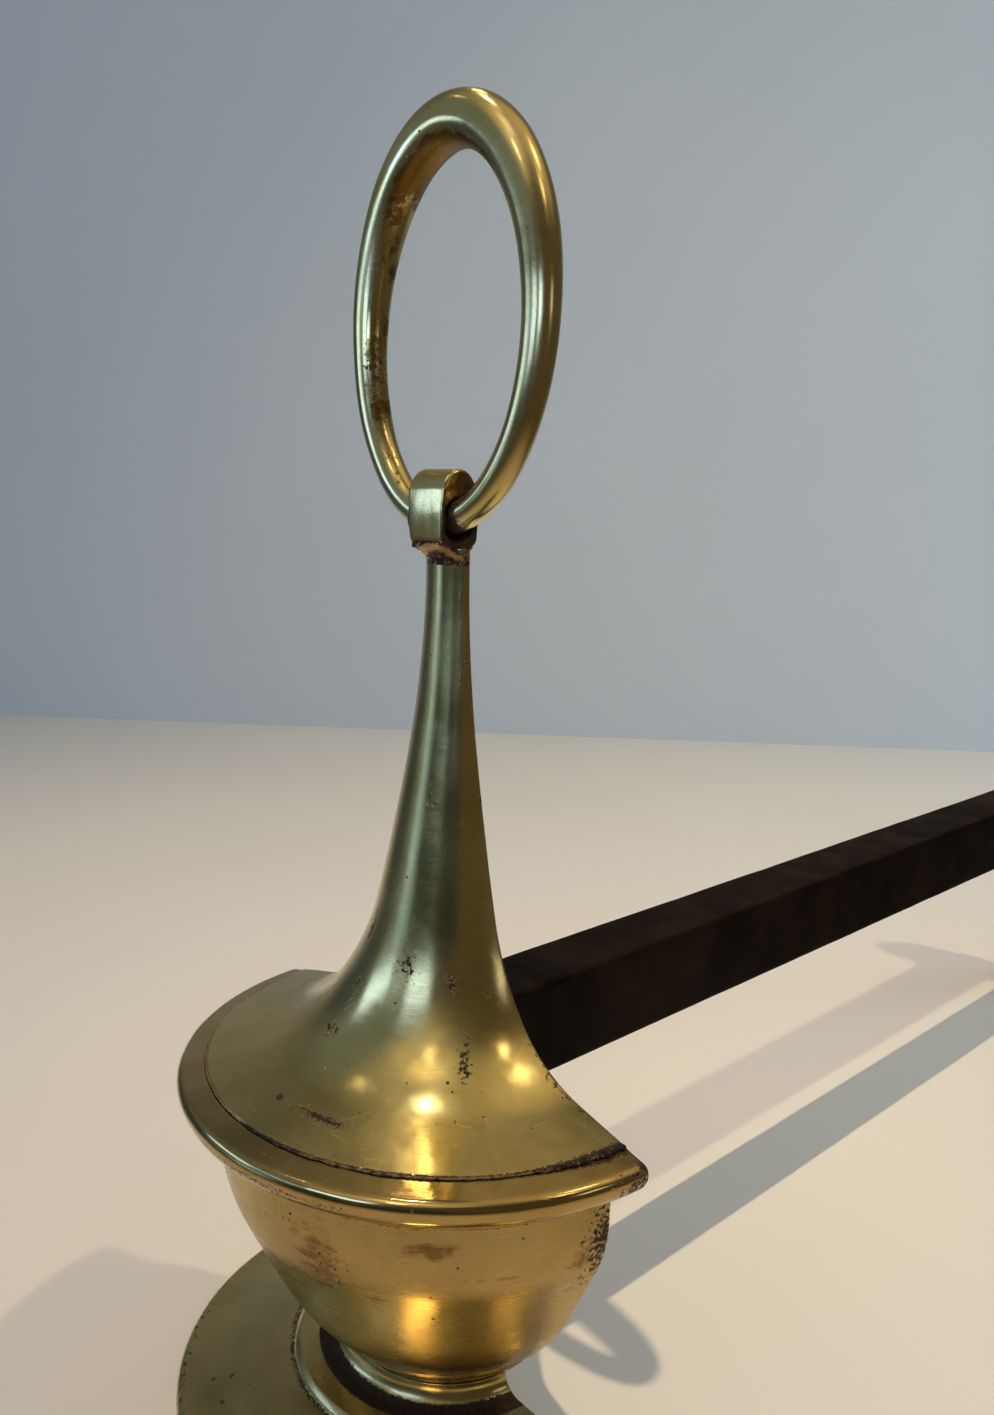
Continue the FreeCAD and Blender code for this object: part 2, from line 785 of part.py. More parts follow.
def make_bar_fasteners():
    """Washer and square nut on the bar's front tenon, inside the hollow castings."""
    washer_seat = stack_y - size("back_plane") - size("bar_washer_thickness")
    nut_seat = washer_seat - size("bar_nut_thickness")
    nut_bore = size("bar_tenon_radius") + size("thread_clearance")
    nodes.append(washer("bar_washer", size("bar_washer_radius"), bar_tenon_bore,
                        size("bar_washer_thickness"), washer_seat, bar_centre))
    nodes.append(square_nut("bar_nut", size("bar_nut_width"), nut_bore,
                            size("bar_nut_thickness"), nut_seat, bar_centre))


def check_and_export():
    """Stop on any failed object, then write one STEP file for each node."""
    doc.recompute()
    for thing in doc.Objects:
        bad = [state for state in thing.State if state in ("Invalid", "Error")]
        if bad:
            raise RuntimeError("%s is %s" % (thing.Name, ", ".join(bad)))
    for node in nodes:
        if node.Shape.isNull() or not node.Shape.isValid():
            raise RuntimeError("%s has no valid shape" % node.Label)
    os.makedirs("parts", exist_ok=True)
    for node in nodes:
        node.Shape.exportStep("parts/%s.step" % node.Label)
        print("%-14s %2d solid(s) %10.0f mm3" % (node.Label, len(node.Shape.Solids), node.Shape.Volume))


make_foot()
make_collar()
make_bowl()
make_bell()
make_eye()
make_ring()
make_strap()
make_bar()
make_leg()
make_stud_sets()
make_bar_fasteners()
check_and_export()
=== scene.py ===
"""Looks of the andiron: aged brass castings with a flat back, a loose oval ring, and black iron.

Metres. X is the width, -Y the front, +Z up, as in the frame. The castings are turned about one
upright axis, the stack axis, and cut off flat behind it. On them an angle is measured from the
front towards +X, a section is a line in (radius, height), and heights start at a casting's base.
"""

import json
import logging
import math
from collections.abc import Callable, Sequence
from dataclasses import dataclass, field
from enum import Enum
from functools import reduce

import bpy
import numpy as np
from mathutils import Matrix, Vector

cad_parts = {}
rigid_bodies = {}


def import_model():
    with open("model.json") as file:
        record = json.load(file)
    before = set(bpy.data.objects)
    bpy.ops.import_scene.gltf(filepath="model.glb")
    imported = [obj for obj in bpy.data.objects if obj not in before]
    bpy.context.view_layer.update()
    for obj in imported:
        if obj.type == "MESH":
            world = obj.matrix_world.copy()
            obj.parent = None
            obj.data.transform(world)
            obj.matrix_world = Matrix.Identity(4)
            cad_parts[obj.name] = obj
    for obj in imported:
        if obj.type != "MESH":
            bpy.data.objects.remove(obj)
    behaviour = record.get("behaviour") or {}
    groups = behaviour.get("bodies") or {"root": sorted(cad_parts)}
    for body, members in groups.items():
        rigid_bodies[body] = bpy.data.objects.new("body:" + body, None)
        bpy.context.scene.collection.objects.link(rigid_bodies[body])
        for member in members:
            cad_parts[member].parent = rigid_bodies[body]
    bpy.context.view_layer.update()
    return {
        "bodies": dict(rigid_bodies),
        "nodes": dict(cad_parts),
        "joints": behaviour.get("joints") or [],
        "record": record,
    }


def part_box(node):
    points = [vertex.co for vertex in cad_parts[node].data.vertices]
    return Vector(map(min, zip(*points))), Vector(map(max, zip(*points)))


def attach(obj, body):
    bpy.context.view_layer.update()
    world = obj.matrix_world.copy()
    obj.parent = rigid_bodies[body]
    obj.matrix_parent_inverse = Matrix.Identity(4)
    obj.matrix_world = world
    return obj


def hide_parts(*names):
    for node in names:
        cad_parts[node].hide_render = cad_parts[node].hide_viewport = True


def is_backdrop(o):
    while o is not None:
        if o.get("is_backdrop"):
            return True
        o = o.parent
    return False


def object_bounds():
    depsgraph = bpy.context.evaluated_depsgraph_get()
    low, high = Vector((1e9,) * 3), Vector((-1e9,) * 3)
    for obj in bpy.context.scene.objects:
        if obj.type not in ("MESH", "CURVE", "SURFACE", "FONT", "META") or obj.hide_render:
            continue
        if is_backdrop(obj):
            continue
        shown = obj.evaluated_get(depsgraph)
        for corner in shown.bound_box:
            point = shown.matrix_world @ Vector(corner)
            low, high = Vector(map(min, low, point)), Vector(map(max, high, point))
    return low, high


LOG = logging.getLogger("andiron")
MM = 0.001
FULL_TURN = 2 * math.pi
QUARTER_TURN = math.pi / 2
UV_NAME = "Turning"

Array = np.ndarray
Material = bpy.types.Material
Piece = bpy.types.Object
Socket = bpy.types.NodeSocket
Colour = tuple[float, float, float]
Relief = Callable[[Array], Array]


class Body(Enum):
    """The bodies that pieces ride on."""

    STAND = "stand"
    RING = "ring"


class Slot(Enum):
    """The record's material slots."""

    BRASS = "brass"
    IRON = "black_iron"
    STEEL = "fastener_steel"


class Along(Enum):
    """What gives a mark's place on a section."""

    RADIUS = 0
    HEIGHT = 1


class Axis(Enum):
    """The axis that a closed round piece is turned about, with the two axes across it."""

    X = (0, 1, 2)
    Y = (1, 2, 0)


# ---- Shapes


class Trace:
    """A section drawn point by point, in millimetres, as straight runs and arcs."""

    ARC_STEPS = 48

    def __init__(self, radius: float, height: float) -> None:
        """Start the line at a point.

        Args:
            radius: the point's radius, in millimetres.
            height: the point's height, in millimetres.
        """
        self.points = [np.array([radius, height], float)]
        self.heading = 0.0
        self.seen = 0, None

    def line(self, radius: float, height: float) -> "Trace":
        """Go straight to a point.

        Args:
            radius: the point's radius, in millimetres.
            height: the point's height, in millimetres.

        Returns:
            The trace itself.
        """
        step = np.array([radius, height]) - self.points[-1]
        self.heading = math.atan2(step[1], step[0])
        self.points.append(self.points[-1] + step)
        return self

    def arc(self, radius: float, height: float) -> "Trace":
        """Go to a point on an arc that leaves tangent to what came before.

        Args:
            radius: the point's radius, in millimetres.
            height: the point's height, in millimetres.

        Returns:
            The trace itself.
        """
        step = np.array([radius, height]) - self.points[-1]
        half_turn = math.atan2(step[1], step[0]) - self.heading
        half_turn = (half_turn + math.pi) % FULL_TURN - math.pi
        return self._sweep(step, half_turn)

    def bend(self, radius: float, height: float, bend: float) -> "Trace":
        """Go to a point on an arc of a radius, turning left.

        Args:
            radius: the point's radius, in millimetres.
            height: the point's height, in millimetres.
            bend: the arc's radius.

        Returns:
            The trace itself.
        """
        step = np.array([radius, height]) - self.points[-1]
        half_turn = math.asin(math.hypot(*step) / 2 / bend)
        self.heading = math.atan2(step[1], step[0]) - half_turn
        return self._sweep(step, half_turn)

    def seen_from_here(self) -> "Trace":
        """Mark the part of the line that starts here as the one that needs close points."""
        self.seen = len(self.points) - 1, None
        return self

    def seen_to_here(self) -> "Trace":
        """Mark the part of the line that ends here as the one that needs close points."""
        self.seen = self.seen[0], len(self.points) - 1
        return self

    def _sweep(self, step: Array, half_turn: float) -> "Trace":
        """Add an arc's points: chords from its start, each turned by half of the arc so far.

        Args:
            step: the way from the arc's start to its end.
            half_turn: half of the angle that the arc turns by.

        Returns:
            The trace itself.
        """
        start = self.points[-1]
        reach = math.hypot(*step) / math.sin(half_turn)
        for share in np.arange(1, self.ARC_STEPS + 1) / self.ARC_STEPS:
            turn = half_turn * share
            chord = reach * math.sin(turn)
            way = self.heading + turn
            self.points.append(start + chord * np.array([math.cos(way), math.sin(way)]))
        self.heading += 2 * half_turn
        return self

    def section(self, softness: float, coarse: float = 0.75, turn: float = 0.16) -> Array:
        """The line with soft corners, in metres, its points closer together where it bends.

        Args:
            softness: how far a corner is rounded, in millimetres.
            coarse: the longest step, in millimetres.
            turn: the most that the line turns in a step, in radians.

        Returns:
            The points as rows of (radius, height).
        """
        points = softened(np.array(self.points), softness)
        step = np.diff(points, axis=0)
        heading = np.unwrap(np.arctan2(step[:, 1], step[:, 0]))
        bend = np.abs(np.diff(heading, prepend=heading[0]))
        parts = np.concatenate([[0.0], np.cumsum(np.hypot(*np.diff(self.points, axis=0).T))])
        start, end = parts[self.seen[0]], parts[-1 if self.seen[1] is None else self.seen[1]]
        walked = np.linspace(0, parts[-1], len(step))
        is_seen = (walked > start - 1) & (walked < end + 1)
        total = np.hypot(*step.T) / np.where(is_seen, coarse, coarse * 4) + bend / turn
        total = np.concatenate([[0.0], np.cumsum(total)])
        picks = np.linspace(0, total[-1], int(math.ceil(total[-1])) + 1)
        return np.column_stack([np.interp(picks, total, part) for part in points.T]) * MM


def softened(points: Array, softness: float, pitch: float = 0.08) -> Array:
    """Round a line's corners.

    The line is walked at an even pitch, and each point becomes the bell-weighted mean of its
    neighbours. Beyond its ends the line goes on as its own point reflection, so the ends stay.

    Args:
        points: the line's points, in millimetres.
        softness: the width of the bell curve, in millimetres.
        pitch: the walk's step, in millimetres.

    Returns:
        The rounded line's points.
    """
    length = np.concatenate([[0.0], np.cumsum(np.hypot(*np.diff(points, axis=0).T))])
    walk = np.linspace(0, length[-1], int(length[-1] / pitch) + 2)
    even = np.column_stack([np.interp(walk, length, part) for part in points.T])
    reach = int(3 * softness / pitch)
    weights = np.exp(-0.5 * (np.arange(-reach, reach + 1) * pitch / softness) ** 2)
    weights /= weights.sum()
    head = 2 * even[0] - even[reach:0:-1]
    tail = 2 * even[-1] - even[-2:-reach - 2:-1]
    padded = np.vstack([head, even, tail])
    return np.column_stack([np.convolve(part, weights, mode="valid") for part in padded.T])


class Waves:
    """A smooth uneven field: cosines of even strength along seeded directions, added up."""

    def __init__(self, seed: int, wavelength: float, count: int = 14) -> None:
        """Draw the directions, lengths and phases of the waves.

        Args:
            seed: the seed of the draw.
            wavelength: the middle wavelength, in millimetres.
            count: how many waves are added.
        """
        draw = np.random.default_rng(seed)
        ways = draw.normal(size=(count, 3))
        ways /= np.linalg.norm(ways, axis=1, keepdims=True)
        lengths = wavelength * MM * draw.uniform(0.6, 1.5, count)
        self.waves = ways * (FULL_TURN / lengths)[:, None]
        self.phases = draw.uniform(0, FULL_TURN, count)

    def at(self, points: Array) -> Array:
        """The field at points, mostly between -1 and 1."""
        field_sum = np.cos(points @ self.waves.T + self.phases).sum(axis=-1)
        return field_sum / math.sqrt(2 * len(self.phases))


@dataclass(frozen=True)
class Hammering:
    """A forged face's unevenness: a coarse and a fine field, sunk under the true face.

    The depths and wavelengths are in millimetres, and the fine field takes the next seed.
    """

    seed: int
    coarse: float
    coarse_wave: float
    sunk: float
    fine: float = 0.0
    fine_wave: float = 9.0

    def at(self, points: Array) -> Array:
        """How far the face stands out at points.

        Args:
            points: the points, in metres.

        Returns:
            How far the face stands out at each, in metres.
        """
        waves = self.coarse * Waves(self.seed, self.coarse_wave).at(points)
        if self.fine:
            waves = waves + self.fine * Waves(self.seed + 1, self.fine_wave).at(points)
        return (waves - self.sunk) * MM


@dataclass
class Skin:
    """One closed surface: its vertices, its faces and what its materials read."""

    vertices: Array
    quads: Array
    polygons: list[Array] = field(default_factory=list)
    uv: Array | None = None
    masks: dict[str, Array] = field(default_factory=dict)
    raw: Array | None = None

    def volume(self) -> float:
        """The volume inside, under 0 where the faces point inwards.

        Returns:
            The volume in cubic metres.
        """
        fans = [self.quads[:, [0, 1, 2]], self.quads[:, [0, 2, 3]]]
        for polygon in self.polygons:
            ends = np.column_stack([polygon[1:-1], polygon[2:]])
            fans.append(np.column_stack([np.full(len(ends), polygon[0]), ends]))
        a, b, c = (self.vertices[np.concatenate(fans)[:, k]] for k in range(3))
        return float(np.einsum("ij,ij->i", a, np.cross(b, c)).sum() / 6)

    def piece(self, name: str) -> Piece:
        """Make the object, its faces turned so that the volume inside is over 0.

        The grid's faces are smooth and the flat faces have their own normals. A face marked as
        raw takes the object's second material.

        Args:
            name: the piece's name.

        Returns:
            The object, linked to the scene.
        """
        if self.volume() < 0:
            self.quads = self.quads[:, ::-1]
            self.polygons = [polygon[::-1] for polygon in self.polygons]
        corners = np.concatenate([self.quads.ravel(), *self.polygons]).astype(np.int32)
        mesh = self._mesh(name, corners)
        for mask, values in self.masks.items():
            layer = mesh.attributes.new(mask, "FLOAT", "POINT")
            layer.data.foreach_set("value", np.clip(values, 0, 1).astype(np.float32).ravel())
        if self.uv is not None:
            layer = mesh.uv_layers.new(name=UV_NAME)
            layer.data.foreach_set("uv", self.uv[corners].astype(np.float32).ravel())
        mesh.validate()
        made = bpy.data.objects.new(name, mesh)
        bpy.context.scene.collection.objects.link(made)
        return made

    def _mesh(self, name: str, corners: Array) -> bpy.types.Mesh:
        """The bare mesh, from the vertex number at each corner of each face in turn.

        Args:
            name: the piece's name.
            corners: the vertex numbers, face after face.

        Returns:
            The mesh, without masks or map.
        """
        sides = [4] * len(self.quads) + [len(polygon) for polygon in self.polygons]
        starts = np.concatenate([[0], np.cumsum(sides)[:-1]]).astype(np.int32)
        mesh = bpy.data.meshes.new(name)
        mesh.vertices.add(len(self.vertices))
        mesh.vertices.foreach_set("co", self.vertices.astype(np.float32).ravel())
        mesh.loops.add(len(corners))
        mesh.loops.foreach_set("vertex_index", corners)
        mesh.polygons.add(len(sides))
        mesh.polygons.foreach_set("loop_start", starts)
        mesh.polygons.foreach_set("use_smooth", np.arange(len(sides)) < len(self.quads))
        if self.raw is not None:
            mesh.polygons.foreach_set("material_index", self.raw.astype(np.int32))
        mesh.update(calc_edges=True)
        return mesh


def grid_quads(rows: int, columns: int, wrap_rows: bool, wrap_columns: bool) -> Array:
    """The quads of a grid of vertices numbered row by row.

    Args:
        rows: how many rows there are.
        columns: how many columns there are.
        wrap_rows: whether the last row joins the first.
        wrap_columns: whether the last column joins the first.

    Returns:
        Four vertex numbers for each quad.
    """
    row, column = np.meshgrid(
        np.arange(rows if wrap_rows else rows - 1),
        np.arange(columns if wrap_columns else columns - 1),
        indexing="ij",
    )
    next_row, next_column = (row + 1) % rows, (column + 1) % columns
    corners = [(row, column), (next_row, column), (next_row, next_column), (row, next_column)]
    return np.column_stack([(r * columns + c).ravel() for r, c in corners])


def end_faces(rows: int, columns: int) -> list[Array]:
    """The flat faces at a grid's first and last row, wound against those of grid_quads."""
    first = np.arange(columns)
    return [first[::-1], first + (rows - 1) * columns]


def hoops(places: Sequence[float], distances: Array, columns: int) -> Array:
    """Rows of a loop to be turned: each has one place along the axis.

    Args:
        places: the place of each row along the axis.
        distances: the distance from the axis, one for each row or one for each point.
        columns: how many points a row has.

    Returns:
        The (place, distance) pairs, as (rows, columns, 2).
    """
    distances = distances + np.zeros(columns)
    along = np.repeat(np.reshape(places, (-1, 1)), columns, axis=1)
    return np.stack([along, distances], axis=-1)


def even(points: Array) -> Array:
    """No relief."""
    return np.zeros(points.shape[:-1])


def tube(path: Array, across: Array, radius: Array, around: int) -> Skin:
    """A closed tube: a circle carried along a closed path, its radius changing on the way.

    A point is the path's point plus radius times (cos b times the level normal plus sin b
    times the second normal), where b runs round the circle.

    Args:
        path: the closed path's points.
        across: the two normals at each point, as (points, 2, 3).
        radius: the tube's radius at each point and angle, as (points, around).
        around: how many points the circle has.

    Returns:
        The tube's skin.
    """
    turn = np.linspace(0, FULL_TURN, around, endpoint=False)
    ring = np.stack([np.cos(turn), np.sin(turn)], axis=-1)
    vertices = path[:, None, :] + radius[..., None] * np.einsum("jk,ikc->ijc", ring, across)
    quads = grid_quads(len(path), around, True, True)
    return Skin(vertices.reshape(-1, 3), quads)


def turned(loop: Array, axis: Axis, middle: Sequence[float]) -> Skin:
    """A ring-like solid turned about an axis: the loop is closed, and clear of the axis.

    A point of the loop is (place along the axis, distance from it), and each of the loop's
    columns may have its own distance.

    Args:
        loop: the places and distances, as (points, columns, 2).
        axis: the axis that it is turned about.
        middle: the point that the places are measured from.

    Returns:
        The solid's skin.
    """
    columns = loop.shape[1]
    turn = np.linspace(0, FULL_TURN, columns, endpoint=False)
    vertices = np.zeros(loop.shape[:2] + (3,))
    along, first, second = axis.value
    vertices[..., along] = loop[..., 0]
    vertices[..., first] = loop[..., 1] * np.cos(turn)
    vertices[..., second] = loop[..., 1] * np.sin(turn)
    vertices += np.array(middle)
    return Skin(vertices.reshape(-1, 3), grid_quads(loop.shape[0], columns, True, True))


def lathe(line: Array, axis: Axis, middle: Sequence[float], columns: int,
          relief: Relief = even) -> Skin:
    """A solid turned about an axis from an open line that starts and ends near the axis.

    Args:
        line: the places along the axis and distances from it, or such a line for each column.
        axis: the axis that it is turned about.
        middle: the point that the places are measured from.
        columns: how many points the circle has.
        relief: how far the distance grows at a point.

    Returns:
        The solid's skin, closed by a flat face at each end.
    """
    if line.ndim == 2:
        line = np.repeat(line[:, None, :], columns, axis=1)
    skin = turned(line, axis, (0, 0, 0))
    rough = relief(skin.vertices.reshape(line.shape[0], columns, 3))
    line = np.dstack([line[..., 0], line[..., 1] + rough])
    skin = turned(line, axis, middle)
    skin.quads = grid_quads(len(line), columns, False, True)
    skin.polygons = end_faces(len(line), columns)
    return skin


def rounded_rectangle(wide: float, deep: float, corner: float, steps: int) -> Array:
    """A closed rectangle with round corners about the origin, points spread along its sides.

    Args:
        wide: its size along the first axis.
        deep: its size along the second axis.
        corner: the corners' radius.
        steps: how many points each side has.

    Returns:
        The points as rows.
    """
    turn = np.linspace(0, QUARTER_TURN, 7)
    inner = np.array([wide / 2 - corner, deep / 2 - corner])
    points = []
    for quarter, sign in enumerate([(1, 1), (-1, 1), (-1, -1), (1, -1)]):
        way = turn + quarter * QUARTER_TURN
        arc = inner * np.array(sign) + corner * np.column_stack([np.cos(way), np.sin(way)])
        points.append(arc)
        end = inner * np.array([(-1, 1), (-1, -1), (1, -1), (1, 1)][quarter])
        way_out = corner * np.array([math.cos(way[-1]), math.sin(way[-1])])
        share = np.linspace(0, 1, steps + 2)[1:-1, None]
        points.append(arc[-1] * (1 - share) + (end + way_out) * share)
    return np.vstack(points)


def swept(section: Array, stops: Array, scale: Array, edge: float,
          axis: int, middle: Sequence[float], relief: Relief = even) -> Skin:
    """A forged length: a closed section carried straight along an axis, with soft ends.

    Within the edge's radius of either end the section shrinks on a quarter circle. The relief
    moves each point away from the middle line, along the section's normal.

    Args:
        section: the closed section's points across the axis, in the order of the other axes.
        stops: the places along the axis, from one end to the other.
        scale: how much the section is stretched along its two axes at each stop.
        edge: the radius of the soft ends.
        axis: the axis that it is carried along.
        middle: the point that the section and the stops are measured from.
        relief: how far the surface stands out at a point.

    Returns:
        The length's skin, closed by a flat face at each end.
    """
    turn = np.linspace(0, QUARTER_TURN, 5)
    near = stops[0] + edge * (1 - np.sin(turn))[::-1]
    far = stops[-1] - edge * (1 - np.sin(turn))
    inside = stops[(stops > near[-1]) & (stops < far[0])]
    places = np.concatenate([near, inside, far])
    inset = np.concatenate([(edge * (1 - np.cos(turn)))[::-1], 0 * inside, edge * (1 - np.cos(turn))])
    growth = np.column_stack([np.interp(places, stops, part) for part in scale.T])
    step = np.roll(section, -1, axis=0) - np.roll(section, 1, axis=0)
    normal = np.column_stack([step[:, 1], -step[:, 0]])
    normal /= np.linalg.norm(normal, axis=1, keepdims=True)
    across = section[None] * growth[:, None, :] - normal[None] * inset[:, None, None]
    others = [k for k in range(3) if k != axis]
    vertices = np.zeros(across.shape[:2] + (3,))
    vertices[..., axis] = places[:, None]
    vertices[..., others] = across
    away = np.zeros((len(section), 3))
    away[:, others] = normal
    vertices += relief(vertices)[..., None] * away[None]
    vertices += np.array(middle)
    rows, columns = across.shape[:2]
    quads = grid_quads(rows, columns, False, True)
    return Skin(vertices.reshape(-1, 3), quads, end_faces(rows, columns))


# ---- Finishes


@dataclass(frozen=True)
class Grain:
    """A fractal noise: its coarsest lumps to a metre, its octaves and how rough they are."""

    scale: float
    detail: float = 3.0
    roughness: float = 0.5


class Value:
    """A number that the nodes work out, which adds and multiplies as a plain number does."""

    def __init__(self, nodes: "Nodes", socket: Socket) -> None:
        """Name the socket that gives the number."""
        self.nodes = nodes
        self.socket = socket

    def __add__(self, other: "Value | float") -> "Value":
        """This number plus another."""
        return self.nodes.step("ADD", self, other)

    def __sub__(self, other: "Value | float") -> "Value":
        """This number less another."""
        return self.nodes.step("SUBTRACT", self, other)

    def __mul__(self, other: "Value | float") -> "Value":
        """This number times another."""
        return self.nodes.step("MULTIPLY", self, other)

    def __truediv__(self, other: "Value | float") -> "Value":
        """This number over another."""
        return self.nodes.step("DIVIDE", self, other)

    def or_more(self, other: "Value") -> "Value":
        """The larger of the two."""
        return self.nodes.step("MAXIMUM", self, other)


class Nodes:
    """A node tree, and the few kinds of step that the finishes and the room are made of."""

    def __init__(self, tree: bpy.types.NodeTree) -> None:
        """Start with an empty tree."""
        self.tree = tree
        tree.nodes.clear()

    def node(self, kind: str, **settings: object) -> bpy.types.Node:
        """Add a node of a kind, with some of its settings.

        Args:
            kind: its type, without the leading ShaderNode.
            settings: the values of its own properties.

        Returns:
            The node.
        """
        made = self.tree.nodes.new("ShaderNode" + kind)
        for setting, value in settings.items():
            setattr(made, setting, value)
        return made

    def plug(self, socket: Socket, value: object) -> None:
        """Link a socket to what is worked out, or set its value.

        Args:
            socket: the input.
            value: a number, a colour, a vector, an output or a worked-out value.
        """
        if isinstance(value, Value):
            value = value.socket
        if isinstance(value, Socket):
            self.tree.links.new(value, socket)
        elif isinstance(value, tuple) and len(value) == 3 and socket.type == "RGBA":
            socket.default_value = (*value, 1.0)
        else:
            socket.default_value = value

    def place(self) -> Socket:
        """The point in the piece's own coordinates."""
        return self.node("TexCoord").outputs["Object"]

    def ray(self, kind: str) -> Value:
        """1 for rays of a kind, 0 for the others."""
        return Value(self, self.node("LightPath").outputs[kind])

    def turning(self, scale: tuple[float, float], turn: float = 0.0) -> Socket:
        """The place on a turned surface, round it and along its section, stretched and turned.

        Args:
            scale: the stretch round the piece and along its section.
            turn: the turn before it, in degrees.

        Returns:
            The stretched place.
        """
        turned_by = self.node("Mapping")
        self.plug(turned_by.inputs["Vector"], self.node("UVMap", uv_map=UV_NAME).outputs[0])
        turned_by.inputs["Rotation"].default_value = (0, 0, math.radians(turn))
        stretched = self.node("Mapping")
        self.plug(stretched.inputs["Vector"], turned_by.outputs[0])
        stretched.inputs["Scale"].default_value = (*scale, 1.0)
        return stretched.outputs[0]

    def noise(self, vector: Socket, grain: Grain) -> Value:
        """Fractal noise about 0.5.

        Args:
            vector: where it is read.
            grain: its scale, octaves and roughness.

        Returns:
            The number.
        """
        node = self.node("TexNoise")
        self.plug(node.inputs["Vector"], vector)
        node.inputs["Scale"].default_value = grain.scale
        node.inputs["Detail"].default_value = grain.detail
        node.inputs["Roughness"].default_value = grain.roughness
        return Value(self, node.outputs[0])

    def cells(self, vector: Socket, scale: float) -> tuple[Value, Value]:
        """The distance to the nearest cell's middle, and that cell's own random value.

        Args:
            vector: where they are read.
            scale: how many there are to a metre.

        Returns:
            The distance and the random value.
        """
        node = self.node("TexVoronoi")
        self.plug(node.inputs["Vector"], vector)
        node.inputs["Scale"].default_value = scale
        split = self.node("SeparateColor")
        self.plug(split.inputs[0], node.outputs["Color"])
        return Value(self, node.outputs["Distance"]), Value(self, split.outputs[0])

    def mask(self, name: str) -> Value:
        """A mask that the piece carries, 0 where it has none of that name."""
        return Value(self, self.node("Attribute", attribute_name=name).outputs["Fac"])

    def step(self, operation: str, first: object, second: object = 0.0) -> Value:
        """One arithmetic step.

        Args:
            operation: the step's name.
            first: the first number.
            second: the second number.

        Returns:
            The number.
        """
        node = self.node("Math", operation=operation)
        self.plug(node.inputs[0], first)
        self.plug(node.inputs[1], second)
        return Value(self, node.outputs[0])

    def between(self, value: object, low: float, high: float, start: float = 0.0,
                end: float = 1.0) -> Value:
        """A smooth step from start to end while the value goes from low to high.

        Args:
            value: the number that is read.
            low: where the step starts.
            high: where it ends.
            start: the result up to low.
            end: the result from high on.

        Returns:
            The number.
        """
        node = self.node("MapRange", interpolation_type="SMOOTHSTEP")
        for socket, amount in zip(node.inputs, (value, low, high, start, end)):
            self.plug(socket, amount)
        return Value(self, node.outputs[0])

    def blend(self, share: Value, first: object, second: object) -> Socket:
        """A mix of two colours, each worked out or given.

        Args:
            share: how much there is of the second, from 0 to 1.
            first: the first colour.
            second: the second colour.

        Returns:
            The mixed colour.
        """
        node = self.node("Mix", data_type="RGBA")
        for socket, value in zip((node.inputs["Factor"], *node.inputs[6:8]), (share, first, second)):
            self.plug(socket, value)
        return node.outputs[2]

    def bump(self, height: Value, depth: float,
             below: Socket | None = None) -> Socket:
        """A normal bent by a height, whose full range is a depth in millimetres.

        Args:
            height: the height, from 0 to 1.
            depth: the full range, in millimetres.
            below: the normal that it is laid on.

        Returns:
            The bent normal.
        """
        node = self.node("Bump")
        node.inputs["Distance"].default_value = depth * MM
        self.plug(node.inputs["Height"], height)
        if below is not None:
            self.plug(node.inputs["Normal"], below)
        return node.outputs[0]


class Graph(Nodes):
    """A material's node graph, built from coordinates towards one Principled shader."""

    def __init__(self, name: str) -> None:
        """Start a material with a plain Principled shader.

        Args:
            name: the material's name.
        """
        self.material = bpy.data.materials.new(name)
        self.material.use_nodes = True
        super().__init__(self.material.node_tree)
        self.shader = self.node("BsdfPrincipled")
        self.surface = self.node("OutputMaterial").inputs["Surface"]
        self.plug(self.surface, self.shader.outputs[0])

    def shade(self, name: str, value: object) -> None:
        """Give the shader one of its inputs."""
        self.plug(self.shader.inputs[name], value)

    def cut_out(self, share: object) -> None:
        """Let rays through where the share is 1.

        Args:
            share: how much is let through, from 0 to 1.
        """
        mix = self.node("MixShader")
        self.plug(mix.inputs[0], share)
        self.plug(mix.inputs[1], self.shader.outputs[0])
        self.plug(mix.inputs[2], self.node("BsdfTransparent").outputs[0])
        self.plug(self.surface, mix.outputs[0])


